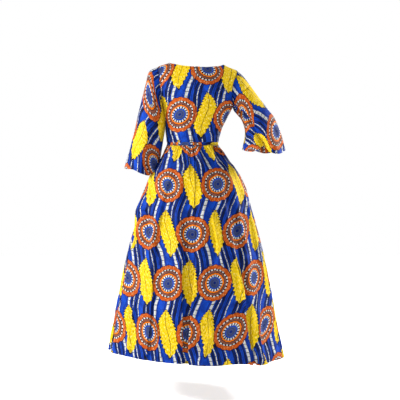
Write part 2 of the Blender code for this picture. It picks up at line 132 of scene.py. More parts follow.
def ease(x):
    """Eases from 0 to 1 as x goes from 0 to 1."""
    x = np.clip(x, 0.0, 1.0)
    return x * x * (3.0 - 2.0 * x)


def bell(away, width):
    """1 at 0, fading to 0 over a few widths."""
    return np.exp(-((away / width) ** 2))


def distance(points, others):
    """How far points are from others."""
    return np.linalg.norm(points - others, axis=-1)


def read(rows, key, column, at):
    """Reads a table's column at any places along its key, on a smooth curve."""
    pairs = sorted((getattr(row, key), getattr(row, column)) for row in rows)
    xs, ys = np.array(pairs).T
    at = np.clip(at, xs[0], xs[-1])
    i = np.clip(np.searchsorted(xs, at, side="left") - 1, 0, len(xs) - 2)
    before, after = np.maximum(i - 1, 0), np.minimum(i + 2, len(xs) - 1)
    slope0 = (ys[i + 1] - ys[before]) / (xs[i + 1] - xs[before])
    slope1 = (ys[after] - ys[i]) / (xs[after] - xs[i])
    step = xs[i + 1] - xs[i]
    t = (at - xs[i]) / step
    start = ys[i] * (1 + 2 * t) * (1 - t) ** 2 + slope0 * step * t * (1 - t) ** 2
    return start + ys[i + 1] * t * t * (3 - 2 * t) + slope1 * step * t * t * (t - 1)


def bodice_surface(across, up, side):
    """The plain bodice: up is -1 at the waist, 0 at the underarm and 1 at the top."""
    across, up = np.broadcast_arrays(np.asarray(across, float), np.asarray(up, float))
    middle = (UNDERARM_LEFT_Z + UNDERARM_RIGHT_Z) / 2
    end = np.where(across > 0, UNDERARM_LEFT_Z, UNDERARM_RIGHT_Z)
    underarm = middle + (end - middle) * ease(np.abs(across))
    top_left, top_right = BODICE[-1].left, BODICE[-1].right
    x_top = (top_left + top_right) / 2 + across * (top_left - top_right) / 2
    neck = np.abs(x_top) / NECK_HALF_WIDTH
    open_neck = np.sqrt(np.clip(1.0 - neck * neck, 0.0, 1.0))
    along = (x_top + NECK_HALF_WIDTH) / (2 * NECK_HALF_WIDTH)
    line = NECK_RIGHT_Z + (NECK_LEFT_Z - NECK_RIGHT_Z) * along
    left_fall = (x_top - NECK_HALF_WIDTH) / (top_left - NECK_HALF_WIDTH)
    right_fall = (-x_top - NECK_HALF_WIDTH) / (-top_right - NECK_HALF_WIDTH)
    left_line = NECK_LEFT_Z + (SHOULDER_LEFT_Z - NECK_LEFT_Z) * left_fall
    right_line = NECK_RIGHT_Z + (SHOULDER_RIGHT_Z - NECK_RIGHT_Z) * right_fall
    line = np.where(x_top > NECK_HALF_WIDTH, left_line, line)
    line = np.where(x_top < -NECK_HALF_WIDTH, right_line, line)
    top = line - NECK_DIP[side] * open_neck**NECK_DIP_SHAPE
    above = np.clip(up, 0.0, 1.0)
    z = underarm + np.where(up <= 0, underarm - WAIST_Z, top - underarm) * up
    place = np.sin(across * math.pi / 2)
    place = place + (across - place) * ease(above)
    spread = 1.0 + ARMHOLE_SPREAD * above
    turn = np.clip(above - SHOULDER_ROUND_START, 0.0, 1.0) / (1.0 - SHOULDER_ROUND_START)
    held = (NECK_REACH[side] * open_neck) ** 2
    rounding = np.sqrt(np.clip(1.0 - (1.0 - held) * turn * turn, 0.0, 1.0))
    left, right = read(BODICE, "z", "left", z), read(BODICE, "z", "right", z)
    x = (left + right) / 2 + place * (left - right) / 2
    full = 1.0 - np.clip(np.abs(place / spread), 0.0, 1.0) ** SQUARENESS
    y = read(BODICE, "z", side, z) * full ** (1.0 / SQUARENESS)
    if side == "front":
        for bust in (-BUST["x"], BUST["x"]):
            away = ((x - bust) ** 2 + (z - BUST["z"]) ** 2) / (2 * BUST["width"] ** 2)
            y = y + BUST["depth"] * np.exp(-away) * (1.0 - np.abs(place) ** 4)
        y = -y
    return np.stack([x, y * rounding, z], axis=-1)


def outward(points, flip=False):
    """Unit normals of a grid of points."""
    along = np.gradient(points, axis=1)
    down = np.gradient(points, axis=0)
    normal = np.cross(along, down) if flip else np.cross(down, along)
    size = np.linalg.norm(normal, axis=-1, keepdims=True)
    return normal / np.maximum(size, 1e-12)


PULL_BOW = 0.12
PULL_WIDTH = 0.75


def pulled(points, normals, pulls):
    """How far the creases of a list move each point of a grid along its normal."""
    x, z = points[..., 0], points[..., 2]
    moved = np.zeros_like(x)
    for pull in pulls:
        dx, dz = pull.x1 - pull.x0, pull.z1 - pull.z0
        long = math.hypot(dx, dz)
        along = ((x - pull.x0) * dx + (z - pull.z0) * dz) / long**2
        bow = PULL_BOW * long * np.sin(np.clip(along, 0, 1) * math.pi)
        off = ((x - pull.x0) * dz - (z - pull.z0) * dx) / long + bow
        over = np.maximum(np.maximum(-along, along - 1.0), 0.0) * long
        wide = pull.half_width * PULL_WIDTH
        moved += pull.depth * np.exp(-(off**2 + over**2) / (2 * wide**2))
    return moved[..., None] * normals


WAVE_COUNT = 14
WAVE_HEIGHT = 0.00042
WAVE_SHORTEST = 0.030
WAVE_LONGEST = 0.110
WAVE_USUAL = 60.0
WAVE_GROWTH = 0.7
wave_rng = np.random.default_rng(5)
wave_way = wave_rng.normal(size=(WAVE_COUNT, 3)) * np.array([1.0, 1.0, 0.7])
wave_way /= np.linalg.norm(wave_way, axis=-1, keepdims=True)
wave_number = 2 * math.pi / wave_rng.uniform(WAVE_SHORTEST, WAVE_LONGEST, WAVE_COUNT)
wave_start = wave_rng.uniform(0.0, 2 * math.pi, WAVE_COUNT)


def uneven(points):
    """A slight unevenness of worn cotton, as a height at each point."""
    height = np.zeros(points.shape[:-1])
    for way, number, start in zip(wave_way, wave_number, wave_start):
        height += np.sin(points @ way * number + start) * (WAVE_USUAL / number) ** WAVE_GROWTH
    return height * WAVE_HEIGHT


PUCKER_HEIGHT = 0.00055
PUCKER_LENGTH = 0.0125
PUCKER_REACH = 0.014
PUCKER_CLEAR = 0.003
PUCKER_DRIFT = 2.0
PUCKER_DRIFTS_PER_METRE = 37.0


def puckers(along, away):
    """The small ripples that sewing leaves beside a seam, as a height at each point."""
    drift = PUCKER_DRIFT * np.sin(along * PUCKER_DRIFTS_PER_METRE)
    ripple = np.sin(along * 2 * math.pi / PUCKER_LENGTH + drift)
    return PUCKER_HEIGHT * ripple * bell(away, PUCKER_REACH) * ease(away / PUCKER_CLEAR)


def cut_coordinates(points, middle_column, level_row):
    """Where each point lay on the flat cloth, in metres from a column and a level row."""
    steps = np.linalg.norm(np.diff(points, axis=1), axis=-1)
    along = np.concatenate([np.zeros((len(points), 1)), np.cumsum(steps, axis=1)], axis=1)
    along = along - along[:, middle_column : middle_column + 1]
    falls = np.linalg.norm(np.diff(points, axis=0), axis=-1)
    down = np.concatenate([np.zeros((1, points.shape[1])), np.cumsum(falls, axis=0)], axis=0)
    return np.stack([along, down[level_row] - down], axis=-1)


def cloth_piece(name, points, cut, seam, material, closed=False, flip=False):
    """Makes a grid of points into a thin shell with its print's coordinates."""
    rows, columns = points.shape[:2]
    index = np.arange(rows * columns).reshape(rows, columns)
    across = columns if closed else columns - 1
    start = np.arange(across)
    end = (start + 1) % columns
    a, b = index[:-1][:, start], index[1:][:, start]
    c, d = index[1:][:, end], index[:-1][:, end]
    order = (a, d, c, b) if flip else (a, b, c, d)
    faces = np.stack(order, axis=-1).reshape(-1, 4)
    mesh = bpy.data.meshes.new(name)
    mesh.from_pydata(points.reshape(-1, 3).tolist(), [], faces.tolist())
    layer = mesh.uv_layers.new(name=PRINT_UV)
    flat = cut.reshape(-1, 2)[faces.reshape(-1)]
    if closed:
        wrap = cut[:, 0].copy()
        step = distance(points[:, 0], points[:, -1])
        wrap[:, 0] = cut[:, -1, 0] + step * np.sign(cut[:, -1, 0] - cut[:, 0, 0])
        flat = flat.reshape(rows - 1, across, 4, 2)
        corners = (3, 2) if not flip else (1, 2)
        flat[:, -1, corners[0]] = wrap[:-1]
        flat[:, -1, corners[1]] = wrap[1:]
        flat = flat.reshape(-1, 2)
    layer.data.foreach_set("uv", flat.astype(np.float32).reshape(-1))
    # The seam attribute carries the painted shade along seams and joins, which the material reads
    attribute = mesh.attributes.new("seam", "FLOAT", "POINT")
    attribute.data.foreach_set("value", seam.astype(np.float32).reshape(-1))
    mesh.materials.append(material)
    mesh.shade_smooth()
    base = put(name + "_flat", mesh)
    wall = base.modifiers.new("thickness", "SOLIDIFY")
    wall.thickness = CLOTH_THICKNESS
    wall.offset = -1.0
    depsgraph = bpy.context.evaluated_depsgraph_get()
    made = bpy.data.meshes.new_from_object(base.evaluated_get(depsgraph))
    made.name = name
    made.set_sharp_from_angle(angle=math.radians(SHARP_EDGE))
    bpy.data.objects.remove(base)
    bpy.data.meshes.remove(mesh)
    return put(name, made)


def linear(hex_colour):
    """An sRGB hex colour as linear values."""
    values = [int(hex_colour[i : i + 2], 16) / 255 for i in (1, 3, 5)]
    return [v / 12.92 if v <= 0.04045 else ((v + 0.055) / 1.055) ** 2.4 for v in values] + [1.0]


def add_node(tree, kind, inputs=(), output=0, **settings):
    """Adds a node with its settings and links, and gives one of its outputs."""
    prefix = {"SHADER": "ShaderNode", "GEOMETRY": "GeometryNode"}[tree.type]
    node = tree.nodes.new(prefix + kind)
    for key, value in settings.items():
        setattr(node, key, value)
    pairs = inputs.items() if isinstance(inputs, dict) else enumerate(inputs)
    for place, value in pairs:
        if isinstance(value, bpy.types.NodeSocket):
            tree.links.new(value, node.inputs[place])
        elif value is not None:
            node.inputs[place].default_value = value
    return node.outputs[output]


def new_material(name, values):
    """A material with its values set on the sockets of its shader."""
    material = bpy.data.materials.new(name)
    material.use_nodes = True
    shader = material.node_tree.nodes["Principled BSDF"]
    for socket, value in values.items():
        shader.inputs[socket].default_value = value
    return material


# Wax-printed cotton: a crisp plain-weave calico, printed with resist and calendered. To the
# eye it is matt with a slight gloss, its blue is mottled and crossed by the fine crackle
# that the wax leaves, and its colours look brushed on. The print is a common kind of design
# of concentric scalloped medallions, leaves and wavy bands in a half-drop repeat.
REPEAT_ACROSS = 0.236
REPEAT_DOWN = 0.440
MEDALLION_RADIUS = 0.0790
MEDALLION_RIM = 0.96
MEDALLION_OUTLINE = 1.035
MEDALLION_FADE = 0.45
MARK_LEVEL = -0.1
MARK_MARGIN = 0.03
# Strength of the painted shade laid along seams and joins
PAINTED_SEAM_SHADE_STRENGTH = 0.60
SCALLOPS = 16
SCALLOP_DEPTH = 0.045
LEAF_HALF_WIDTH = 0.0390
LEAF_HALF_LENGTH = 0.1050
LEAF_POINT = 2.8
LEAF_EDGE = 1.08
LEAF_OUTLINE = 1.17
LEAF_BEND = 0.011
LEAF_BENDS_PER_METRE = 24.0
TOOTH_SPACING = 0.016
TOOTH_SLANT = -0.55
TOOTH_DEPTH = 0.20
VEIN_SHARE = 0.07
VEIN_STRENGTH = 0.7
RIB_HALF_WIDTH = 0.0010
BAND_PERIOD = 0.236
BAND_SWAY = 0.026
BAND_SWAY_START = 0.9
BAND_OUTLINE = 0.007
BAR_SPACING = 0.021
BAR_SHARE = 0.13
BAR_DRIFT = 0.35

# Bands across their period: where each starts and ends, as shares of it, and its colour
BANDS = [
    (0.015, 0.070, "navy"),
    (0.084, 0.100, "white"),
    (0.114, 0.170, "navy"),
    (0.186, 0.202, "deep"),
    (0.216, 0.258, "navy"),
    (0.276, 0.330, "white"),
    (0.350, 0.372, "deep"),
    (0.500, 0.522, "deep"),
    (0.548, 0.596, "white"),
    (0.618, 0.668, "navy"),
    (0.682, 0.698, "white"),
    (0.714, 0.772, "navy"),
    (0.790, 0.806, "deep"),
    (0.824, 0.866, "navy"),
    (0.884, 0.900, "white"),
]

# Rings from the rim inwards, each from its share of the radius down to the next one's. The
# beads and the rays are white marks between two radii on a navy ring, with their count.
MEDALLION_RINGS = [
    (0.800, "navy"),
    (0.700, "brown"),
    (0.590, "navy"),
    (0.560, "flame"),
    (0.480, "navy"),
    (0.345, "ground"),
    (0.285, "slate"),
    (0.190, "deep"),
    (0.165, "slate"),
    (0.080, "deep"),
]
BEAD_RING = (0.715, 0.785, 24)
RAY_RING = (0.355, 0.470, 17)
PRINT_COLOURS = {
    "ground": "#0a40ac",
    "deep": "#06206c",
    "navy": "#05081a",
    "white": "#c8cac8",
    "yellow": "#d6b400",
    "pale_yellow": "#e0d072",
    "ochre": "#8a6a08",
    "orange": "#a8460a",
    "pale_orange": "#c88c56",
    "rust": "#8f2f06",
    "flame": "#e07000",
    "brown": "#784636",
    "slate": "#3a4468",
    # painted shade for seams and joins, not a colour of the print
    "painted_seam_shade": "#060b22",
}

# Textures, counted to the metre: the hand of the print wanders over 62 mm, dye mottles in
# patches of 42 mm, the crackle has nets of 38 and 12 mm, the dry brush leaves streaks of
# 3 mm and the flecks in the yellow and the orange are 4 mm wide. Creases from wear are
# 29 mm apart. The yarns of such cotton are 0.4 mm apart, too fine to show, so their ribs
# are drawn coarser, 2 mm apart.
WANDER_SCALE = 16.0
WANDER = 0.010
MOTTLE_SCALE = 24.0
ROUGHNESS = (0.60, 0.72)
CRACKLES = ((26.0, 0.035, 0.75), (85.0, 0.055, 0.50))
STREAK_SCALE = 330.0
STREAK_STRETCH = 0.09
RAGGED_SCALE = 30.0
RAGGED = 0.022
FLECK_SCALE = 250.0
LIGHT_FLECKS = (0.56, 0.64, 0.85)
DARK_FLECKS = (0.43, 0.36, 0.80)
FLECK_STRETCH = 0.34
WEAVE_SCALE = 160.0
WEAVE_BUMP = (0.12, 0.0002)
CRUMPLE_SCALE = 34.0
CRUMPLE_BUMP = (0.22, 0.0016)


def printed_cotton(name, shift_across, shift_down):
    """The printed cloth, with its repeat moved to suit a piece's cut.

    By number, a MapRange reads from 1 to 2 and gives 3 to 4. A Mix lays colour 7 on
    colour 6 through mask 0.
    """
    material = new_material(name, {"IOR": 1.47, "Specular IOR Level": 0.09})
    tree = material.node_tree
    shader = tree.nodes["Principled BSDF"]
    add = partial(add_node, tree)
    mixed = {"output": 2, "data_type": "RGBA"}
    colour = {key: linear(value) for key, value in PRINT_COLOURS.items()}
    cut = add("UVMap", uv_map=PRINT_UV)
    cut = add("Mapping", {0: cut, 1: (shift_across, shift_down, 0.0)})
    wander = add("TexNoise", {"Vector": cut, "Scale": WANDER_SCALE, "Detail": 3.0}, output=1)
    wander = add("VectorMath", {0: wander, 1: (0.5, 0.5, 0.5)}, operation="SUBTRACT")
    wander = add("VectorMath", {0: wander, 3: WANDER}, operation="SCALE")
    drawn = add("VectorMath", {0: cut, 1: wander}, operation="ADD")
    x = add("SeparateXYZ", [drawn])
    y = x.node.outputs[1]

    def cell(value, period, half):
        """Where a value lies in its period, from the middle of it."""
        shifted = add("Math", [value, 1.0 / period, 0.5 if half else 0.0], operation="MULTIPLY_ADD")
        part = add("Math", [shifted], operation="FRACT")
        return add("Math", [part, period, -0.5 * period], operation="MULTIPLY_ADD")

    near_x, far_x = cell(x, REPEAT_ACROSS, True), cell(x, REPEAT_ACROSS, False)
    near_y, far_y = cell(y, REPEAT_DOWN, True), cell(y, REPEAT_DOWN, False)

    def nearest(*pairs):
        """The nearer of two spots, whole and in its two parts."""
        spots = [add("CombineXYZ", [across, along, 0.0]) for across, along in pairs]
        reach = [add("VectorMath", [spot], output=1, operation="LENGTH") for spot in spots]
        closer = add("Math", [reach[1], reach[0]], operation="LESS_THAN")
        spot = add("Mix", {0: closer, 4: spots[0], 5: spots[1]}, output=1, data_type="VECTOR")
        return spot, add("SeparateXYZ", [spot])

    def inside(value, low, high):
        """1 where a value is between two limits."""
        above = add("Math", [value, low], operation="GREATER_THAN")
        below = add("Math", [value, high], operation="LESS_THAN")
        return add("Math", [above, below], operation="MULTIPLY")

    # The blue ground, mottled by the dye, with the wax's crackle in a wide and a fine net
    mottle = add("TexNoise", {"Vector": cut, "Scale": MOTTLE_SCALE, "Detail": 5.0, "Roughness": 0.6})
    mottle = add("MapRange", {0: mottle, 1: 0.40, 2: 0.68, 3: 0.0, 4: 0.80})
    cloth = add("Mix", {0: mottle, 6: colour["ground"], 7: colour["deep"]}, **mixed)
    for scale, width, strength in CRACKLES:
        crackle = add("TexVoronoi", {"Vector": drawn, "Scale": scale}, feature="DISTANCE_TO_EDGE")
        fine_line = add("MapRange", {0: crackle, 1: 0.0, 2: width, 3: strength, 4: 0.0})
        cloth = add("Mix", {0: fine_line, 6: cloth, 7: colour["deep"]}, **mixed)

    # Wavy bands: navy lines and white ribbons crossed by thin bars, all brushed on dry
    sway = add("Math", [y, 2 * math.pi / REPEAT_DOWN, BAND_SWAY_START], operation="MULTIPLY_ADD")
    sway = add("Math", [sway], operation="SINE")
    swayed = add("Math", [sway, BAND_SWAY, x], operation="MULTIPLY_ADD")
    stretched = add("Math", [y, STREAK_STRETCH], operation="MULTIPLY")
    streak = add("CombineXYZ", [swayed, stretched, 0.0])
    streak = add("TexNoise", {"Vector": streak, "Scale": STREAK_SCALE, "Detail": 2.0})
    dry = add("MapRange", {0: streak, 1: 0.34, 2: 0.58, 3: 0.50, 4: 1.0})
    ragged = add("TexNoise", {"Vector": drawn, "Scale": RAGGED_SCALE})
    ragged = add("Math", [ragged, RAGGED], operation="MULTIPLY")
    band = add("Math", [swayed, 1.0 / BAND_PERIOD, ragged], operation="MULTIPLY_ADD")
    band = add("Math", [band], operation="FRACT")
    for low, high, name_of in BANDS:
        brushed = add("Math", [inside(band, low, high), dry], operation="MULTIPLY")
        layers = [(colour[name_of], brushed)]
        if name_of == "white":
            bars = add("Math", [y, 1.0 / BAR_SPACING, low * 7], operation="MULTIPLY_ADD")
            bars = add("Math", [sway, BAR_DRIFT, bars], operation="MULTIPLY_ADD")
            bars = add("Math", [bars], operation="FRACT")
            bars = add("Math", [bars, BAR_SHARE], operation="GREATER_THAN")
            barred = add("Math", [brushed, bars], operation="MULTIPLY")
            outlined = inside(band, low - BAND_OUTLINE, high + BAND_OUTLINE)
            layers = [(colour["navy"], outlined), (colour["white"], barred)]
        for over, mask in layers:
            cloth = add("Mix", {0: mask, 6: cloth, 7: over}, **mixed)

    # Upright flecks that show in the yellow and in the orange
    stretched = add("Math", [y, FLECK_STRETCH], operation="MULTIPLY")
    fleck = add("CombineXYZ", [x, stretched, 0.0])
    fleck = add("TexNoise", {"Vector": fleck, "Scale": FLECK_SCALE, "Detail": 2.0})
    light, dark = (
        add("MapRange", {0: fleck, 1: first, 2: last, 3: 0.0, 4: strength})
        for first, last, strength in (LIGHT_FLECKS, DARK_FLECKS)
    )

    # Yellow leaves with a bent midrib, veins and ragged edges
    leaf_x = nearest((far_x, near_y), (near_x, far_y))[1]
    leaf_y = leaf_x.node.outputs[1]
    bend = add("Math", [leaf_y, LEAF_BENDS_PER_METRE], operation="MULTIPLY")
    bend = add("Math", [bend], operation="SINE")
    aside = add("Math", [bend, LEAF_BEND, leaf_x], operation="MULTIPLY_ADD")
    aside = add("Math", [aside], operation="ABSOLUTE")
    along = add("Math", [leaf_y, 1.0 / LEAF_HALF_LENGTH], operation="MULTIPLY")
    along = add("Math", [along], operation="ABSOLUTE")
    along = add("Math", [along, LEAF_POINT], operation="POWER")
    edge = add("Math", [aside, 1.0 / LEAF_HALF_WIDTH, along], operation="MULTIPLY_ADD")
    tooth = add("Math", [aside, TOOTH_SLANT, leaf_y], operation="MULTIPLY_ADD")
    tooth = add("Math", [tooth, 1 / TOOTH_SPACING], operation="MULTIPLY")
    tooth = add("Math", [tooth], operation="FRACT")
    edge = add("Math", [tooth, TOOTH_DEPTH, edge], operation="MULTIPLY_ADD")
    rib = add("Math", [aside, RIB_HALF_WIDTH], operation="LESS_THAN")
    vein = add("Math", [tooth, VEIN_SHARE], operation="LESS_THAN")
    vein = add("Math", [vein, VEIN_STRENGTH], operation="MULTIPLY")
    leaf = colour["yellow"]
    for key, mask in (("pale_yellow", light), ("ochre", dark), ("navy", rib), ("ochre", vein)):
        leaf = add("Mix", {0: mask, 6: leaf, 7: colour[key]}, **mixed)

    # Concentric medallions with a scalloped rim, a ring of beads and a ring of rays
    spot, disc_x = nearest((near_x, near_y), (far_x, far_y))
    radius = add("VectorMath", [spot], output=1, operation="LENGTH")
    angle = add("Math", [disc_x.node.outputs[1], disc_x], operation="ARCTAN2")
    petals = add("Math", [angle, SCALLOPS / 2], operation="MULTIPLY")
    petals = add("Math", [petals], operation="COSINE")
    petals = add("Math", [petals], operation="ABSOLUTE")
    rim = (SCALLOP_DEPTH * MEDALLION_RADIUS, MEDALLION_RIM * MEDALLION_RADIUS)
    rim = add("Math", [petals, *rim], operation="MULTIPLY_ADD")
    ring = add("Math", [radius, rim], operation="DIVIDE")
    layers = [("pale_orange", light), ("rust", dark)]
    for outer, name_of in MEDALLION_RINGS:
        layers.append((name_of, add("Math", [ring, outer], operation="LESS_THAN")))
        for low, high, count in (BEAD_RING, RAY_RING):
            if name_of == "navy" and high < outer < high + MARK_MARGIN:
                marks = add("Math", [angle, count], operation="MULTIPLY")
                marks = add("Math", [marks], operation="SINE")
                marks = add("Math", [marks, MARK_LEVEL], operation="GREATER_THAN")
                marks = add("Math", [marks, inside(ring, low, high)], operation="MULTIPLY")
                layers.append(("white", marks))
    faded = add("Math", [ring, MEDALLION_RINGS[0][0]], operation="LESS_THAN")
    faded = add("Math", [faded, mottle], operation="MULTIPLY")
    faded = add("Math", [faded, MEDALLION_FADE], operation="MULTIPLY")
    disc = colour["orange"]
    for key, mask in [*layers, ("navy", faded)]:
        disc = add("Mix", {0: mask, 6: disc, 7: colour[key]}, **mixed)

    # The leaves and medallions lie over the bands with thin navy outlines, and sewn edges and
    # joins get a little painted shade, a dark navy laid on through the seam attribute
    seam = add("Attribute", output=2, attribute_name="seam")
    for over, shape, limit, operation in (
        (colour["navy"], edge, LEAF_OUTLINE, "LESS_THAN"),
        (leaf, edge, LEAF_EDGE, "LESS_THAN"),
        (colour["navy"], ring, MEDALLION_OUTLINE, "LESS_THAN"),
        (disc, ring, 1.0, "LESS_THAN"),
        (colour["painted_seam_shade"], seam, PAINTED_SEAM_SHADE_STRENGTH, "MULTIPLY"),
    ):
        mask = add("Math", [shape, limit], operation=operation)
        cloth = add("Mix", {0: mask, 6: cloth, 7: over}, **mixed)
    tree.links.new(cloth, shader.inputs["Base Color"])

    # A cross-ribbed weave on the soft crumple of worn cotton
    weave = [
        add("TexWave", {"Vector": cut, "Scale": WEAVE_SCALE}, output=1, bands_direction=way)
        for way in ("X", "Y")
    ]
    weave = add("Math", weave, operation="MULTIPLY")
    crumple = {"Vector": cut, "Scale": CRUMPLE_SCALE, "Detail": 3.0, "Roughness": 0.55}
    crumple = add("TexNoise", crumple)
    bump = dict(zip(("Strength", "Distance"), CRUMPLE_BUMP), Height=crumple)
    bump = add("Bump", bump)
    bump = dict(zip(("Strength", "Distance"), WEAVE_BUMP), Height=weave, Normal=bump)
    bump = add("Bump", bump)
    tree.links.new(bump, shader.inputs["Normal"])
    shine = add("MapRange", {0: mottle, 1: 0.0, 2: 1.0, 3: ROUGHNESS[0], 4: ROUGHNESS[1]})
    tree.links.new(shine, shader.inputs["Roughness"])
    return material


def edge_places(start, end, count, fine=(0.0, 0.0014, 0.0030, 0.0055)):
    """Places between two ends, with a few more close to each; fine ones in shares."""
    places = np.linspace(start, end, count)
    near = [start + (end - start) * share for share in fine]
    far = [end - (end - start) * share for share in fine]
    return np.unique(np.round(np.concatenate([places, near, far]), 7))


# Stitches: rows of lock stitch in mercerised cotton thread, a little darker than the ground.
# The thread's smooth twist gives them a soft shine. They are laid along the neck and hems.
STITCH_SPACING = 0.0029
STITCH_LENGTH = 0.0021
STITCH_RADIUS = 0.00022
STITCH_PROUD = 0.6
STITCH_SIDES = 6


def stitch_tree():
    """A tree that lays short stitches along a line, and its inputs by name."""
    tree = bpy.data.node_groups.new("stitches", "GeometryNodeTree")
    sockets = {}
    for label, kind, value in (
        ("Geometry", "NodeSocketGeometry", None),
        ("Spacing", "NodeSocketFloat", STITCH_SPACING),
        ("Length", "NodeSocketFloat", STITCH_LENGTH),
        ("Radius", "NodeSocketFloat", STITCH_RADIUS),
        ("Thread", "NodeSocketMaterial", None),
    ):
        sockets[label] = tree.interface.new_socket(name=label, in_out="INPUT", socket_type=kind)
        if value is not None:
            sockets[label].default_value = value
    tree.interface.new_socket(name="Geometry", in_out="OUTPUT", socket_type="NodeSocketGeometry")
    add = partial(add_node, tree)
    given = tree.nodes.new("NodeGroupInput").outputs
    line = add("MeshToCurve", [given["Geometry"]])
    points = add("CurveToPoints", {0: line, 2: given["Spacing"]}, mode="LENGTH")
    turned = points.node.outputs[3]
    thread = add("MeshCylinder", {0: STITCH_SIDES, 1: 1, 2: 1, 3: given["Radius"], 4: given["Length"]})
    laid = add("InstanceOnPoints", {0: points, 2: thread, 5: turned})
    real = add("RealizeInstances", [laid])
    done = add("SetMaterial", {0: real, 2: given["Thread"]})
    tree.links.new(done, tree.nodes.new("NodeGroupOutput").inputs[0])
    return tree, sockets


stitches, stitch_inputs = stitch_tree()
cotton_thread = new_material("navy_cotton_thread", {"Base Color": linear("#16286a"), "Roughness": 0.6})


def stitch(name, line, normals, closed=False):
    """Sews stitches along a line of points that lies on the cloth."""
    line = line + normals * STITCH_RADIUS * STITCH_PROUD
    mesh = bpy.data.meshes.new(name + "_line")
    edges = [(i, i + 1) for i in range(len(line) - 1)] + ([(len(line) - 1, 0)] if closed else [])
    mesh.from_pydata(line.tolist(), edges, [])
    carrier = put(name + "_line", mesh)
    sewing = carrier.modifiers.new("sewing", "NODES")
    sewing.node_group = stitches
    sewing[stitch_inputs["Thread"].identifier] = cotton_thread
    depsgraph = bpy.context.evaluated_depsgraph_get()
    made = bpy.data.meshes.new_from_object(carrier.evaluated_get(depsgraph))
    made.name = name
    bpy.data.objects.remove(carrier)
    piece = put(name, made)
    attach(piece, "root")
    return piece


BODICE_PANELS = {
    "bodice_front": ("front", -1.0, 1.0, FRONT_PULLS, 130),
    "bodice_back_left": ("back", None, 1.0, BACK_PULLS, 68),
    "bodice_back_right": ("back", -1.0, None, BACK_PULLS, 68),
}
CENTRE_BACK = -(BODICE[-1].left + BODICE[-1].right) / (BODICE[-1].left - BODICE[-1].right)
NECK_STITCH = 0.0065
NECK_ROLL_HEIGHT = 0.0005
NECK_ROLL_BELOW = 0.0030
NECK_ROLL_WIDTH = 0.0028
SEAM_DEPTH = 0.0007
SEAM_WIDTH = 0.0022
SEAM_SHADE = 0.6
YOKE_ROWS = 66
YOKE_CROWDING = 1.35
BODICE_ROWS = 50


def seam_share(points, ends):
    """1 on the sewn columns of a grid, fading to 0 a few millimetres away."""
    seam = np.zeros(points.shape[:2])
    for end in ends:
        away = distance(points, points[:, [end]])
        seam = np.maximum(seam, bell(away, SEAM_WIDTH))
    return seam


ZIP_BOTTOM_Z = -0.560
ZIP_LIP_GAP = 0.00035
ZIP_LIP_DEPTH = 0.0012
ZIP_END = 0.010
MEETING_SHADE_WIDTH = 0.0011
SEAM_LINE_SHADE = 0.45


def zip_lips(points, normals, end, side):
    """Rolls a back's centre edge in, down to the end of the zip, and paints shade along the line where
    the edges meet.
    """
    away = distance(points, points[:, [end]])
    closed = ease((points[:, [end], 2] - ZIP_BOTTOM_Z) / ZIP_END)
    roll = bell(away, SEAM_WIDTH) * closed
    moved = points - normals * (ZIP_LIP_DEPTH * roll)[..., None]
    moved[..., 0] += side * ZIP_LIP_GAP * roll
    shade = SEAM_LINE_SHADE + (1.0 - SEAM_LINE_SHADE) * closed
    return moved, bell(away, MEETING_SHADE_WIDTH) * shade


bodice_cloth = printed_cotton("wax_printed_cotton_bodice", 0.052, 0.095)
yoke = 1.0 - np.linspace(0.0, 1.0, YOKE_ROWS) ** YOKE_CROWDING
rise = np.concatenate([yoke, np.linspace(0.0, -1.0, BODICE_ROWS)[1:]])
for name, (side, first, last, pulls, count) in BODICE_PANELS.items():
    first = CENTRE_BACK if first is None else first
    last = CENTRE_BACK if last is None else last
    places = edge_places(first, last, count)
    points = bodice_surface(places[None, :], rise[:, None], side)
    normals = outward(points, flip=(side == "front"))
    cut = cut_coordinates(points, int(np.argmin(np.abs(places - CENTRE_BACK))), -1)
    shoulder = np.abs(points[:1, :, 0]) > NECK_HALF_WIDTH
    neck_away = distance(points, points[:1])
    top = bell(neck_away, SEAM_WIDTH) * shoulder
    seam = np.maximum(seam_share(points, (0, -1)), top)
    lift = uneven(points) - SEAM_DEPTH * seam
    rolled = bell(neck_away - NECK_ROLL_BELOW, NECK_ROLL_WIDTH)
    lift += NECK_ROLL_HEIGHT * rolled * ~shoulder
    for end in (0, -1):
        lift += puckers(cut[..., 1], distance(points, points[:, [end]]))
    points = points + pulled(points, normals, pulls) + normals * lift[..., None]
    # Painted shade along the seams, and on the backs along the line where the zip's edges meet
    shade = seam * SEAM_SHADE
    if side == "back":
        centre_column, aside = (0, 1) if last == 1.0 else (-1, -1)
        points, line = zip_lips(points, normals, centre_column, aside)
        shade = np.maximum(shade, line)
    piece = cloth_piece(name + "_cloth", points, cut, shade, bodice_cloth, flip=(side == "front"))
    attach(piece, "root")
    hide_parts(name)
    sewn = np.argmin(np.abs(neck_away - NECK_STITCH), axis=0)
    sewn = np.stack([sewn, np.arange(len(places))])[:, ~shoulder[0]][:, 2:-2]
    stitch(name + "_neck_stitches", points[sewn[0], sewn[1]], normals[sewn[0], sewn[1]])


# Waistband: a narrow band of the same cotton cut crosswise, folded over a stiffener and
# sewn between bodice and skirt, so that it stands a little proud of both.
BAND_SWELL = 0.0009
BAND_EDGE_SHADE = 0.10
BAND_ROWS = 9
BAND_COLUMNS = 60
PANEL_TURNS = {"front": (180.0, 360.0), "back_left": (0.0, 90.0), "back_right": (90.0, 180.0)}


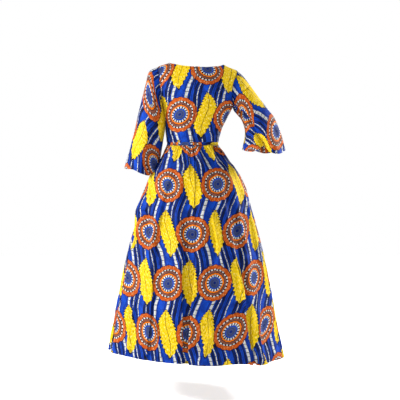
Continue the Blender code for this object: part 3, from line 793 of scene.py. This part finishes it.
def ring_points(rows, turn, z):
    """Points of whole sections; turn is in degrees from the left side through the back."""
    turn, z = np.broadcast_arrays(np.asarray(turn, float), np.asarray(z, float))
    angle = np.radians(turn)
    power = 2.0 / SQUARENESS
    across = np.sign(np.cos(angle)) * np.abs(np.cos(angle)) ** power
    left, right = read(rows, "z", "left", z), read(rows, "z", "right", z)
    back, front = read(rows, "z", "back", z), read(rows, "z", "front", z)
    depth = np.where(np.sin(angle) >= 0, back, front)
    y = np.sign(np.sin(angle)) * depth * np.abs(np.sin(angle)) ** power
    return np.stack([(left + right) / 2 + across * (left - right) / 2, y, z], axis=-1)


band_cloth = printed_cotton("wax_printed_cotton_band", 0.020, 0.034)
band_down = np.linspace(0.0, 1.0, BAND_ROWS)
for panel, (first, last) in PANEL_TURNS.items():
    name = "waistband_" + panel
    places = edge_places(first, last, BAND_COLUMNS)
    heights = WAIST_Z - SEAM_GAP - band_down * (BAND_HEIGHT - SEAM_GAP)
    points = ring_points(BODICE, places[None, :], heights[:, None])
    normals = outward(points, flip=True)
    seam = seam_share(points, (0, -1))
    cut = cut_coordinates(points, int(np.argmin(np.abs(places - 90.0))), 0)
    swell = BAND_SWELL * np.sin(band_down * math.pi)[:, None] ** 0.5 - SEAM_DEPTH * seam
    points = points + normals * swell[..., None]
    # Painted shade along the band's top and bottom edges, where it meets the bodice and the skirt, and
    # at its seams
    from_edge = np.minimum(band_down, 1.0 - band_down)
    edge = bell(from_edge, BAND_EDGE_SHADE)
    seam = np.maximum(seam * SEAM_SHADE, edge[:, None])
    piece = cloth_piece(name + "_cloth", points, cut[..., ::-1], seam, band_cloth, flip=True)
    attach(piece, "root")
    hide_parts(name)


# Skirt: a front and two backs of the same cotton, flared and gathered into the waistband.
# The gathers open into soft folds that lean to one side lower down, so that the print is
# broken along them, and the cloth is caught up a little at the left.
HEM_LEFT_Z = -1.312
HEM_RIGHT_Z = -1.357
PINCH = {"turn": 22, "z": -0.672, "height": 0.016, "turn_spread": 8, "z_spread": 0.040}
SKIRT = [
    Section(z=-0.379, left=0.137, right=-0.101, back=0.089, front=0.093),
    Section(z=-0.410, left=0.151, right=-0.124, back=0.108, front=0.106),
    Section(z=-0.450, left=0.170, right=-0.150, back=0.130, front=0.120),
    Section(z=-0.510, left=0.208, right=-0.192, back=0.156, front=0.140),
    Section(z=-0.570, left=0.233, right=-0.222, back=0.174, front=0.158),
    Section(z=-0.660, left=0.262, right=-0.248, back=0.196, front=0.178),
    Section(z=-0.760, left=0.284, right=-0.274, back=0.214, front=0.196),
    Section(z=-0.900, left=0.320, right=-0.307, back=0.242, front=0.222),
    Section(z=-1.090, left=0.358, right=-0.342, back=0.278, front=0.256),
    Section(z=-1.250, left=0.387, right=-0.371, back=0.306, front=0.284),
    Section(z=-1.370, left=0.413, right=-0.399, back=0.326, front=0.302),
]

# Folds of the skirt: turn, where each starts, half widths and heights at waist and hem,
# and how far its crest leans to one side at the hem, as a share of its half width
Fold = namedtuple("Fold", "turn start waist_half hem_half waist_height hem_height lean")
SKIRT_FOLDS = [
    Fold(8, 0.00, 7, 9, 0.0030, 0.014, 0.55),
    Fold(31, 0.02, 7, 10, 0.0040, 0.018, -0.70),
    Fold(52, 0.00, 6, 9, 0.0030, 0.013, 0.80),
    Fold(74, 0.00, 7, 10, 0.0045, 0.019, 0.90),
    Fold(98, 0.00, 7, 11, 0.0050, 0.016, -0.85),
    Fold(118, 0.03, 6, 8, 0.0030, 0.014, 0.90),
    Fold(137, 0.00, 7, 9, 0.0045, 0.018, -0.65),
    Fold(158, 0.00, 7, 8, 0.0030, 0.012, 0.60),
    Fold(176, 0.02, 6, 9, 0.0030, 0.015, -0.55),
    Fold(202, 0.00, 8, 11, 0.0040, 0.018, 0.75),
    Fold(226, 0.00, 7, 9, 0.0030, 0.014, -0.70),
    Fold(248, 0.02, 7, 10, 0.0045, 0.019, 0.85),
    Fold(271, 0.00, 8, 10, 0.0030, 0.014, -0.75),
    Fold(294, 0.00, 7, 11, 0.0045, 0.018, 0.70),
    Fold(317, 0.03, 7, 9, 0.0030, 0.015, -0.80),
    Fold(339, 0.00, 7, 10, 0.0040, 0.017, 0.60),
]

# Narrow creases laid over the folds: turn and share of the length at both ends, half
# width in metres, depth, troughs below 0, which side of it is the sharper, and the width
# of cloth that is tucked away out of sight in it
CREASE_FIELDS = "turn0 down0 turn1 down1 half_width depth sharp hidden"
Crease = namedtuple("Crease", CREASE_FIELDS, defaults=(0.0,))
SKIRT_CREASES = [
    Crease(85, 0.004, 82, 0.125, 0.010, -0.0090, 1, 0.020),
    Crease(97, 0.002, 104, 0.110, 0.010, -0.0075, -1, 0.012),
    Crease(125, 0.004, 123, 0.095, 0.010, -0.0085, -1, 0.018),
    Crease(112, 0.003, 113, 0.050, 0.008, -0.0055, 1),
    Crease(142, 0.004, 152, 0.070, 0.009, -0.0065, 1, 0.010),
    Crease(70, 0.004, 66, 0.065, 0.008, -0.0055, -1, 0.008),
    Crease(47, 0.004, 22, 0.060, 0.009, -0.0080, 1, 0.014),
    Crease(28, 0.006, 14, 0.045, 0.007, -0.0050, 0),
    Crease(160, 0.004, 166, 0.060, 0.008, -0.0060, -1),
    Crease(26, 0.215, 34, 0.270, 0.010, 0.0075, 1),
    Crease(24, 0.235, 10, 0.420, 0.013, -0.0120, -1, 0.022),
    Crease(36, 0.250, 46, 0.520, 0.015, 0.0070, 1),
    Crease(30, 0.300, 60, 0.400, 0.012, -0.0065, 1, 0.012),
    Crease(30, 0.290, 26, 0.600, 0.013, -0.0090, 1, 0.014),
    Crease(106, 0.320, 105, 0.580, 0.012, -0.0120, -1, 0.020),
    Crease(101, 0.780, 102, 1.000, 0.012, -0.0135, -1, 0.024),
    Crease(122, 0.540, 124, 0.780, 0.012, -0.0120, 1, 0.022),
    Crease(67, 0.740, 65, 1.000, 0.012, -0.0125, 1, 0.022),
    Crease(140, 0.760, 142, 1.000, 0.012, -0.0125, 1, 0.026),
    Crease(84, 0.160, 88, 0.420, 0.018, 0.0065, 0),
    Crease(92, 0.560, 90, 0.900, 0.020, 0.0060, 1),
    Crease(128, 0.180, 140, 0.500, 0.018, 0.0070, 1),
    Crease(58, 0.160, 52, 0.520, 0.013, -0.0095, 1, 0.014),
    Crease(76, 0.420, 74, 0.680, 0.014, -0.0075, -1, 0.010),
    Crease(46, 0.600, 42, 1.000, 0.013, -0.0105, -1, 0.016),
    Crease(18, 0.500, 14, 1.000, 0.014, -0.0105, 1, 0.014),
    Crease(152, 0.220, 158, 0.620, 0.014, -0.0095, -1, 0.014),
    Crease(166, 0.560, 164, 1.000, 0.014, -0.0105, 1, 0.014),
    Crease(204, 0.005, 214, 0.100, 0.010, -0.0075, 1, 0.014),
    Crease(226, 0.004, 222, 0.070, 0.008, -0.0060, -1, 0.008),
    Crease(243, 0.003, 236, 0.090, 0.010, -0.0075, -1, 0.012),
    Crease(262, 0.004, 266, 0.120, 0.010, -0.0085, 1, 0.016),
    Crease(278, 0.003, 276, 0.070, 0.009, -0.0060, -1),
    Crease(290, 0.003, 300, 0.095, 0.010, -0.0075, -1, 0.012),
    Crease(308, 0.004, 318, 0.060, 0.008, -0.0055, 1),
    Crease(322, 0.005, 330, 0.080, 0.009, -0.0065, 1, 0.010),
    Crease(192, 0.300, 188, 0.800, 0.014, -0.0095, 1, 0.014),
    Crease(256, 0.320, 259, 0.640, 0.013, -0.0115, 1, 0.020),
    Crease(302, 0.540, 297, 0.960, 0.013, -0.0120, -1, 0.022),
    Crease(214, 0.240, 210, 0.560, 0.013, -0.0090, -1, 0.012),
    Crease(222, 0.640, 226, 1.000, 0.013, -0.0120, 1, 0.020),
    Crease(284, 0.180, 280, 0.400, 0.018, 0.0065, 0),
    Crease(276, 0.760, 280, 1.000, 0.012, -0.0115, -1, 0.018),
    Crease(240, 0.500, 243, 0.780, 0.013, -0.0090, 1, 0.014),
    Crease(330, 0.300, 326, 0.700, 0.013, -0.0100, 1, 0.014),
    Crease(346, 0.540, 344, 1.000, 0.013, -0.0105, -1, 0.014),
]
CREASE_BOW = 2.2
CREASE_TURNS = 1.3
CREASE_END = 2.5
CREASE_SHORT = 0.15
CREASE_THINNING = 0.7
CREASE_GROWTH = (0.2, 1.6)
FOLD_GROWN = 0.9
FOLD_START = 0.03
SHARP_SIDE = 0.42
SOFT_SIDE = 1.35
HIDDEN_WIDTH = 1.1
HIDDEN_FADE = 0.030
FULLNESS = 0.34
FULLNESS_FADE = 0.060
GATHER_COUNT = 96
GATHER_HEIGHT = 0.0042
GATHER_FADE = 0.052
GATHER_START = 0.004
GATHER_WIDTH = 0.42
GATHER_SPREAD = 4.0
GATHER_SHIFT = 0.32
GATHER_DRIFT = 2.2
GATHER_HEIGHTS = (0.45, 1.25)
GATHER_FADES = (0.5, 1.9)
UNEVEN_SHARE = 1.6
WAIST_SHADE_WIDTH = 0.0025
HEM_TURNING = 0.014
HEM_STEP = 0.0004
HEM_STEP_WIDTH = 0.0015
HEM_WAVE = 0.0028
HEM_WAVES = 11.0
HEM_WAVE_DRIFT = 4.0
HEM_WAVE_DRIFTS = 3.0
HEM_WAVE_GROWTH = 6
HEM_EDGE = 0.001
SKIRT_COLUMNS = {"front": 190, "back_left": 107, "back_right": 107}
GATHERED_SHARE = 0.14
GATHERED_ROWS = 70
SKIRT_ROWS = 161


def turn_between(a, b):
    """The angle from b to a, from -180 to 180 degrees."""
    return (a - b + 180.0) % 360.0 - 180.0


def skirt_ends(turn):
    """The heights of the skirt's waist and hem at a turn."""
    share = (1.0 + np.cos(np.radians(turn))) / 2
    return WAIST_Z - BAND_HEIGHT - SEAM_GAP, HEM_RIGHT_Z + (HEM_LEFT_Z - HEM_RIGHT_Z) * share


def fold_lift(turn, down):
    """How far the folds stand out, and how far their crests lean around the skirt."""
    height, lean = np.zeros_like(turn), np.zeros_like(turn)
    for fold in SKIRT_FOLDS:
        grown = ease((down - fold.start) / FOLD_GROWN)
        half = fold.waist_half + (fold.hem_half - fold.waist_half) * grown
        away = np.abs(turn_between(turn, fold.turn)) / half
        tall = fold.waist_height + (fold.hem_height - fold.waist_height) * grown
        crest = np.where(away < 1.0, np.cos(np.minimum(away, 1.0) * math.pi / 2) ** 2, 0.0)
        height += tall * crest
        lean += fold.lean * half * grown * crest
    return height * ease(down / FOLD_START), lean


def skirt_points(turn, down):
    """The skirt at a grid of turns and shares of its length."""
    turn, down = np.broadcast_arrays(np.asarray(turn, float), np.asarray(down, float))
    top, hem = skirt_ends(turn)
    z = top + (hem - top) * down
    height, lean = fold_lift(turn, down)
    point = ring_points(SKIRT, turn + lean, z)
    middle = (read(SKIRT, "z", "left", z) + read(SKIRT, "z", "right", z)) / 2
    out = np.stack([point[..., 0] - middle, point[..., 1], np.zeros_like(z)], axis=-1)
    out /= np.linalg.norm(out, axis=-1, keepdims=True)
    pinch = (turn_between(turn, PINCH["turn"]) / PINCH["turn_spread"]) ** 2
    pinch = pinch + ((z - PINCH["z"]) / PINCH["z_spread"]) ** 2
    return point + out * (height + PINCH["height"] * np.exp(-pinch / 2))[..., None]


def creased(points, turn, down, creases):
    """How far creases move each point of a grid, and how much cloth they have tucked away."""
    metres = np.linalg.norm(np.gradient(points, axis=1), axis=-1) / np.gradient(turn, axis=1)
    length = np.linalg.norm(np.diff(points, axis=0), axis=-1).sum(axis=0).mean()
    moved, hidden = np.zeros(points.shape[:2]), np.zeros(points.shape[:2])
    for crease in creases:
        span = crease.down1 - crease.down0
        share = np.clip((down - crease.down0) / span, 0.0, 1.0)
        bow = CREASE_BOW * np.sin(share * math.pi * CREASE_TURNS + crease.turn0)
        middle = crease.turn0 + (crease.turn1 - crease.turn0) * share + bow * ease(span / CREASE_SHORT)
        slope = (crease.turn1 - crease.turn0) * metres / (span * length)
        off = turn_between(turn, middle) * metres / np.sqrt(1.0 + slope**2)
        side = np.where(off * crease.sharp > 0, SHARP_SIDE, SOFT_SIDE) if crease.sharp else 1.0
        over = (down - crease.down0 - share * span) * length
        away = (off / (side * crease.half_width)) ** 2
        away = away + (over / (CREASE_END * crease.half_width)) ** 2
        if crease.down1 < 1.0:
            grown = 1.0 - CREASE_THINNING * np.abs(2.0 * share - 1.0) ** 3
        else:
            grown = ease(CREASE_GROWTH[0] + share * CREASE_GROWTH[1])
        moved += crease.depth * grown * np.exp(-away)
        if turn.min() < crease.turn0 < turn.max():
            passed = ease(0.5 + off / (HIDDEN_WIDTH * crease.half_width))
            kept = 1.0 if crease.turn0 < 90.0 else 0.0
            ended = bell(over, HIDDEN_FADE)
            hidden += crease.hidden * grown * ended * (passed - kept)
    return moved, hidden


rng = np.random.default_rng(71)
gather_turns = np.arange(GATHER_COUNT) + rng.uniform(-GATHER_SHIFT, GATHER_SHIFT, GATHER_COUNT)
gather_turns = gather_turns * 360.0 / GATHER_COUNT
gather_tall = GATHER_HEIGHT * rng.uniform(*GATHER_HEIGHTS, GATHER_COUNT)
gather_long = GATHER_FADE * rng.uniform(*GATHER_FADES, GATHER_COUNT)
gather_drift = rng.uniform(-GATHER_DRIFT, GATHER_DRIFT, GATHER_COUNT)
skirt_cloth = printed_cotton("wax_printed_cotton_skirt", 0.012, -0.020)
skirt_top = np.linspace(0.0, GATHERED_SHARE, GATHERED_ROWS)
skirt_down = np.concatenate([skirt_top, np.linspace(GATHERED_SHARE, 1.0, SKIRT_ROWS)[1:]])
for panel, (first, last) in PANEL_TURNS.items():
    name = "skirt_" + panel
    places = edge_places(first, last, SKIRT_COLUMNS[panel])
    turn, down = np.meshgrid(places, skirt_down)
    points = skirt_points(turn, down)
    normals = outward(points, flip=True)
    cut = cut_coordinates(points, int(np.argmin(np.abs(places - 90.0))), 0)
    if panel == "front":
        cut[..., 0] -= cut[:, [len(places) // 2], 0]
    fallen = -cut[..., 1]
    lift, hidden = creased(points, turn, down, SKIRT_CREASES)
    full = 1.0 + FULLNESS * bell(fallen, FULLNESS_FADE)
    cut[..., 0] = cut[..., 0] * full + hidden
    for at, tall, long, drift in zip(gather_turns, gather_tall, gather_long, gather_drift):
        half = 360.0 / GATHER_COUNT * (GATHER_WIDTH + GATHER_SPREAD * fallen)
        away = turn_between(turn, at + drift * fallen / long)
        lift += tall * bell(away, half) * bell(fallen, long) * ease(fallen / GATHER_START)
    seam = seam_share(points, (0, -1))
    lift = lift + UNEVEN_SHARE * uneven(points) - SEAM_DEPTH * seam
    for end in (0, -1):
        lift += puckers(fallen, distance(points, points[:, [end]]))
    hem = distance(points, points[-1:])
    step = 1.0 - ease((hem - HEM_TURNING) / HEM_STEP_WIDTH)
    lift = lift + HEM_STEP * step * ease(hem / HEM_EDGE)
    points = points + normals * lift[..., None]
    around = np.radians(turn)
    drifted = around * HEM_WAVES + HEM_WAVE_DRIFT * np.sin(around * HEM_WAVE_DRIFTS)
    points[..., 2] += HEM_WAVE * np.sin(drifted) * down**HEM_WAVE_GROWTH
    # Painted shade along the seams and along the top of the skirt, under the waistband
    shade = np.maximum(seam * SEAM_SHADE, bell(fallen, WAIST_SHADE_WIDTH))
    if panel != "front":
        centre_column, aside = (-1, 1) if panel == "back_left" else (0, -1)
        points, line = zip_lips(points, normals, centre_column, aside)
        shade = np.maximum(shade, line)
    piece = cloth_piece(name + "_cloth", points, cut, shade, skirt_cloth, flip=True)
    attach(piece, "root")
    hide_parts(name)
    sewn = int(np.argmin(np.abs(hem.mean(axis=1) - HEM_TURNING)))
    stitch(name + "_hem_stitches", points[sewn, 1:-1], normals[sewn, 1:-1])


# Sleeves: set-in three-quarter sleeves of the same cotton that flare to an open hem. The
# left hangs in soft rolls. The right is bent to the hip, so that one strong fold falls
# across it from the underarm and lifts the hem.
Cuff = namedtuple("Cuff", "down outer_x outer_z inner_x inner_z middle_y half_depth droop")
SLEEVE_LEFT = [
    Cuff(0.00, 0.176, -0.016, 0.1580, -0.183, 0.004, 0.062, 0.000),
    Cuff(0.10, 0.218, -0.037, 0.1560, -0.199, 0.006, 0.066, 0.000),
    Cuff(0.22, 0.2355, -0.098, 0.1510, -0.217, 0.010, 0.066, 0.000),
    Cuff(0.36, 0.2540, -0.172, 0.1440, -0.243, 0.014, 0.066, 0.000),
    Cuff(0.52, 0.2740, -0.252, 0.1430, -0.290, 0.014, 0.068, 0.000),
    Cuff(0.68, 0.2940, -0.335, 0.1530, -0.352, 0.010, 0.072, -0.004),
    Cuff(0.84, 0.3150, -0.412, 0.1650, -0.424, 0.004, 0.080, -0.010),
    Cuff(1.00, 0.3350, -0.479, 0.1760, -0.489, -0.002, 0.088, -0.020),
]
SLEEVE_RIGHT = [
    Cuff(0.00, -0.189, -0.034, -0.1650, -0.201, 0.004, 0.062, 0.000),
    Cuff(0.10, -0.216, -0.058, -0.1700, -0.212, 0.006, 0.066, 0.000),
    Cuff(0.24, -0.250, -0.105, -0.1870, -0.235, 0.010, 0.064, 0.000),
    Cuff(0.38, -0.286, -0.155, -0.2080, -0.262, 0.014, 0.064, 0.000),
    Cuff(0.54, -0.328, -0.208, -0.2220, -0.301, 0.018, 0.068, 0.000),
    Cuff(0.70, -0.368, -0.268, -0.2230, -0.337, 0.020, 0.074, 0.000),
    Cuff(0.85, -0.394, -0.332, -0.2170, -0.367, 0.020, 0.080, -0.006),
    Cuff(1.00, -0.412, -0.396, -0.2110, -0.396, 0.018, 0.086, -0.016),
]

# Sleeve folds: start and end down the sleeve and around it, half width there and depth.
# Turn 0 is the underarm, 90 the back and 180 the outer side.
Roll = namedtuple("Roll", "down0 turn0 down1 turn1 half_turn depth")
ROLLS_LEFT = [
    Roll(0.16, 20, 0.34, 95, 16, -0.0059),
    Roll(0.30, 30, 0.62, 75, 18, -0.0046),
    Roll(0.55, 150, 1.00, 120, 20, -0.0065),
    Roll(0.60, 60, 1.00, 70, 20, -0.0065),
    Roll(0.50, 260, 1.00, 285, 24, -0.0078),
    Roll(0.07, 24, 0.17, 66, 8, -0.0055),
    Roll(0.20, 30, 0.42, 130, 9, 0.0029),
    Roll(0.34, 40, 0.55, 140, 9, -0.0034),
    Roll(0.05, 120, 0.22, 150, 9, -0.0023),
    Roll(0.08, 290, 0.30, 330, 10, -0.0044),
    Roll(0.30, 230, 0.50, 320, 11, -0.0034),
    Roll(0.72, 92, 1.00, 96, 9, 0.0052),
]
ROLLS_RIGHT = [
    Roll(0.06, 16, 0.98, 94, 14, -0.0175),
    Roll(0.10, 14, 0.98, 91, 6, -0.0115),
    Roll(0.10, 40, 0.98, 124, 14, 0.0080),
    Roll(0.12, 2, 0.90, 80, 9, 0.0060),
    Roll(0.12, 25, 0.22, 150, 12, -0.0045),
    Roll(0.50, 290, 1.00, 265, 22, -0.0080),
    Roll(0.40, 215, 1.00, 205, 18, -0.0045),
    Roll(0.06, 28, 0.14, 96, 7, -0.0040),
    Roll(0.20, 60, 0.44, 170, 9, -0.0028),
    Roll(0.34, 88, 0.66, 178, 9, 0.0026),
    Roll(0.55, 60, 1.00, 72, 10, 0.0045),
    Roll(0.70, 128, 1.00, 156, 8, -0.0040),
    Roll(0.06, 300, 0.26, 340, 10, -0.0036),
    Roll(0.24, 220, 0.46, 320, 11, -0.0028),
]

# Where each sleeve's hem is lifted (above 0) and where it hangs: height, turn and half
# width in degrees
HEM_LIFTS = {
    "sleeve_left": [(-0.014, 60.0, 26.0), (0.009, 122.0, 26.0)],
    "sleeve_right": [(0.028, 84.0, 17.0), (-0.007, 130.0, 32.0), (-0.034, 262.0, 44.0)],
}
HEM_LIFT_START = 0.55
SLEEVE_CLEARANCE = 0.0024
SLEEVE_BLEND = 0.30
SLEEVE_CENTRE = 0.040
SLEEVE_COLUMNS = 78
SLEEVE_CROWDING = 1.3
SLEEVE_START = 0.02
SLEEVE_HEAD_SHARE = 0.30
SLEEVE_HEAD_ROWS = 44
SLEEVE_ROWS = 76
ROLL_SWAY = 3.0
ROLL_SWAYS = 5.0
ROLL_END = 0.15
ROLL_SHARPNESS = 1.2
HEAD_EASE = 0.0011
HEAD_EASE_REACH = 0.055
HEAD_RIPPLES = 27.0
HEAD_START_TURN = 70.0
HEAD_SPAN = 1.35
HEAD_GAPS = (0.0003, 0.0014)


def ellipse_points(table, turn, down):
    """Points of a sleeve's plain rings: 0 degrees is the inner edge, 90 the back."""
    turn, down = np.broadcast_arrays(np.asarray(turn, float), np.asarray(down, float))
    value = {column: read(table, "down", column, down) for column in Cuff._fields[1:]}
    angle = np.radians(turn)[..., None]
    outer = np.stack([value["outer_x"], value["middle_y"], value["outer_z"]], axis=-1)
    inner = np.stack([value["inner_x"], value["middle_y"], value["inner_z"]], axis=-1)
    aback = np.stack([0.0 * down, value["half_depth"], value["droop"]], axis=-1)
    return (outer + inner) / 2 + (inner - outer) / 2 * np.cos(angle) + aback * np.sin(angle)


def push_clear(points, side):
    """Moves sleeve points sideways until they are clear of the bodice and the skirt."""
    x, y, z = np.moveaxis(points, -1, 0)
    on_skirt = z < WAIST_Z - BAND_HEIGHT
    reach = np.full_like(x, -1.0)
    for rows, where in ((BODICE, ~on_skirt), (SKIRT, on_skirt)):
        left, right = read(rows, "z", "left", z), read(rows, "z", "right", z)
        depth = np.where(y >= 0, read(rows, "z", "back", z), read(rows, "z", "front", z))
        middle, half = (left + right) / 2, (left - right) / 2
        share = np.clip(np.abs(y) / depth, 0.0, 1.0)
        wide = half * (1.0 - share**SQUARENESS) ** (1.0 / SQUARENESS)
        turn = np.degrees(np.arctan2(y, side * np.maximum(wide, 0.001)))
        top, hem = skirt_ends(turn)
        lift = 0.0
        if rows is SKIRT:
            lift = fold_lift(turn, np.clip((z - top) / (hem - top), 0.0, 1.0))[0]
        beside = side * middle + wide + lift + SLEEVE_CLEARANCE
        reach = np.where(where & (share < 1.0), beside, reach)
    pushed = points.copy()
    pushed[..., 0] = side * np.maximum(side * x, reach)
    return pushed


for name, table, rolls, side in (
    ("sleeve_left", SLEEVE_LEFT, ROLLS_LEFT, 1),
    ("sleeve_right", SLEEVE_RIGHT, ROLLS_RIGHT, -1),
):
    up = 1.0 - (1.0 - np.linspace(0.0, 1.0, SLEEVE_COLUMNS)) ** SLEEVE_CROWDING
    back = bodice_surface(side, up, "back")
    front = bodice_surface(side, up[1:-1], "front")
    loop = np.concatenate([back, front[::-1]])
    gone = distance(np.roll(loop, -1, axis=0), loop)
    turn = 360.0 * np.concatenate([[0.0], np.cumsum(gone)[:-1]]) / gone.sum()
    top_turn = turn[len(up) - 1]
    over = 360.0 - (360.0 - turn) * 180.0 / (360.0 - top_turn)
    turn = np.where(turn <= top_turn, turn * 180.0 / top_turn, over)
    head = np.linspace(SLEEVE_START, SLEEVE_HEAD_SHARE, SLEEVE_HEAD_ROWS)
    down = np.concatenate([head, np.linspace(SLEEVE_HEAD_SHARE, 1.0, SLEEVE_ROWS)[1:]])
    down = down[:, None]
    blend = ease(down / SLEEVE_BLEND)[..., None]
    target = ellipse_points(table, turn[None, :], down)
    carried = loop[None] + target - ellipse_points(table, turn[None, :], 0.0 * down)
    place = carried + (target - carried) * blend
    centre = (ellipse_points(table, 0.0, down) + ellipse_points(table, 180.0, down)) / 2
    out = place - centre
    out = out / np.linalg.norm(out, axis=-1, keepdims=True)
    lift = np.zeros(place.shape[:2])
    for roll in rolls:
        along = (down - roll.down0) / (roll.down1 - roll.down0)
        middle = roll.turn0 + (roll.turn1 - roll.turn0) * along
        middle = middle + ROLL_SWAY * np.sin(along * ROLL_SWAYS)
        fade = ease((along + ROLL_END) / (2 * ROLL_END))
        if roll.down1 < 0.98:
            fade = fade * ease((1.0 + ROLL_END - along) / (2 * ROLL_END))
        away = turn_between(turn[None, :], middle) / roll.half_turn
        lift += roll.depth * fade * np.exp(-(away**2) / ROLL_SHARPNESS)
    for raised, raised_turn, raised_half in HEM_LIFTS[name]:
        near = bell(turn_between(turn[None, :], raised_turn), raised_half)
        place[..., 2] += raised * near * ease((down - HEM_LIFT_START) / (1.0 - HEM_LIFT_START))
    over_top = np.clip(np.sin(np.radians(turn - HEAD_START_TURN) * HEAD_SPAN), 0.0, 1.0)
    ripples = np.sin(np.radians(turn) * HEAD_RIPPLES) * over_top
    lift += HEAD_EASE * ripples[None, :] * bell(down, HEAD_EASE_REACH)
    place = push_clear(place + out * lift[..., None], side)
    aside = np.array([side, 0.0, 0.0])
    place = np.concatenate([*([loop + aside * gap] for gap in HEAD_GAPS), place])
    cut = cut_coordinates(place, len(up) - 1, 1)
    cut[..., 0] += SLEEVE_CENTRE * side
    away = distance(place, place[:1])
    seam = bell(away, SEAM_WIDTH)
    normals = outward(place, flip=(side > 0))
    place = place - normals * SEAM_DEPTH * seam[..., None]
    sleeve_cloth = printed_cotton("wax_printed_cotton_" + name, 0.030 * side, 0.105)
    # The seam share also lays painted shade along the armhole seam
    piece = cloth_piece(name + "_cloth", place, cut, seam, sleeve_cloth, closed=True, flip=(side > 0))
    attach(piece, "root")
    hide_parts(name)
    hem = distance(place, place[-1:])
    sewn = int(np.argmin(np.abs(hem.mean(axis=1) - HEM_TURNING)))
    stitch(name + "_hem_stitches", place[sewn], normals[sewn], closed=True)


# Button: a small dark domed button at the top of the back opening, sewn flat on the cloth
# over the end of the zip. It is moulded polyester resin, which its mould leaves smooth, so
# that it shows a small soft highlight.
BUTTON_RADIUS = 0.0036
BUTTON_THICKNESS = 0.0040
BUTTON_BELOW_NECK = 0.008
BUTTON_SUNK = 0.0004
below = np.linspace(1.0, 0.8, 400)
centre_line = bodice_surface(CENTRE_BACK, below, "back")
button_row = np.argmax(distance(centre_line, centre_line[0]) >= BUTTON_BELOW_NECK)
seat = centre_line[button_row]
around_seat = below[button_row] + np.array([0.01, -0.01])
higher, lower = bodice_surface(CENTRE_BACK, around_seat, "back")
facing = Vector(np.cross([1.0, 0.0, 0.0], higher - lower)).normalized()
facing = facing if facing.y > 0 else -facing
beside = []
for name, aside in (("bodice_back_left_cloth", 1), ("bodice_back_right_cloth", -1)):
    outside = Vector((seat[0] + aside * BUTTON_RADIUS, 1.0, seat[2]))
    beside.append(bpy.data.objects[name].ray_cast(outside, Vector((0.0, -1.0, 0.0)))[1].y)
middle = Vector((seat[0], max(beside), seat[2])) + facing * (BUTTON_THICKNESS / 2 - BUTTON_SUNK)
turned = facing.to_track_quat("Z", "Y").to_matrix()
shape = bmesh.new()
bmesh.ops.create_uvsphere(shape, u_segments=40, v_segments=24, radius=1.0)
button_mesh = bpy.data.meshes.new("neck_button_dome")
shape.to_mesh(button_mesh)
shape.free()
for vertex in button_mesh.vertices:
    x, y, z = vertex.co
    dome = Vector((x * BUTTON_RADIUS, y * BUTTON_RADIUS, z * BUTTON_THICKNESS / 2))
    vertex.co = middle + turned @ dome
resin = new_material("dark_polyester_resin", {"Base Color": linear("#10131f"), "Roughness": 0.32})
button_mesh.materials.append(resin)
button_mesh.shade_smooth()
button = put("neck_button_dome", button_mesh)
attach(button, "root")
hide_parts("neck_button")


# Stage: a plain pale floor of matt paint where the wearer's shoes would stand, in a white
# surround that is dim overhead and lit softly from both sides, so that the folds are shaded.
FLOOR_Z = -1.53
FLOOR_HALF = 6.0
FLOOR_GLOW = 0.56
CEILING = 0.15
HORIZON = (0.34, 0.70)
LAMP_WATTS = 215.0
LAMP_SIZE = 0.7
LAMP_AIM = (0.0, 0.0, -0.6)
WHITE = (1.0, 1.0, 1.0, 1.0)
floor_paint = new_material(
    "white_studio_floor",
    {
        "Base Color": linear("#f4f4f4"),
        "Roughness": 0.9,
        "Emission Color": WHITE,
        "Emission Strength": FLOOR_GLOW,
    },
)
floor_mesh = bpy.data.meshes.new("floor")
corners = [(-1, -1), (1, -1), (1, 1), (-1, 1)]
corners = [(x * FLOOR_HALF, y * FLOOR_HALF, FLOOR_Z) for x, y in corners]
floor_mesh.from_pydata(corners, [], [(0, 1, 2, 3)])
floor_mesh.materials.append(floor_paint)
floor = put("floor", floor_mesh)
world = bpy.data.worlds.new("surround")
world.use_nodes = True
sky = world.node_tree
background = sky.nodes["Background"]
background.inputs["Color"].default_value = WHITE
height = add_node(sky, "SeparateXYZ", [add_node(sky, "TexCoord")]).node.outputs[2]
dimmed = {0: height, 1: HORIZON[0], 2: HORIZON[1], 3: 1.0, 4: CEILING}
sky.links.new(add_node(sky, "MapRange", dimmed), background.inputs["Strength"])
bpy.context.scene.world = world
for name, place in (("key", (3.6, 1.3, 1.2)), ("front", (-3.6, -1.3, 1.2))):
    light = bpy.data.lights.new(name, "AREA")
    light.energy = LAMP_WATTS
    light.size = LAMP_SIZE
    lamp = put(name, light)
    lamp.location = place
    aim = Vector(LAMP_AIM) - lamp.location
    lamp.rotation_euler = aim.to_track_quat("-Z", "Y").to_euler()
bpy.context.scene.view_settings.view_transform = "Standard"
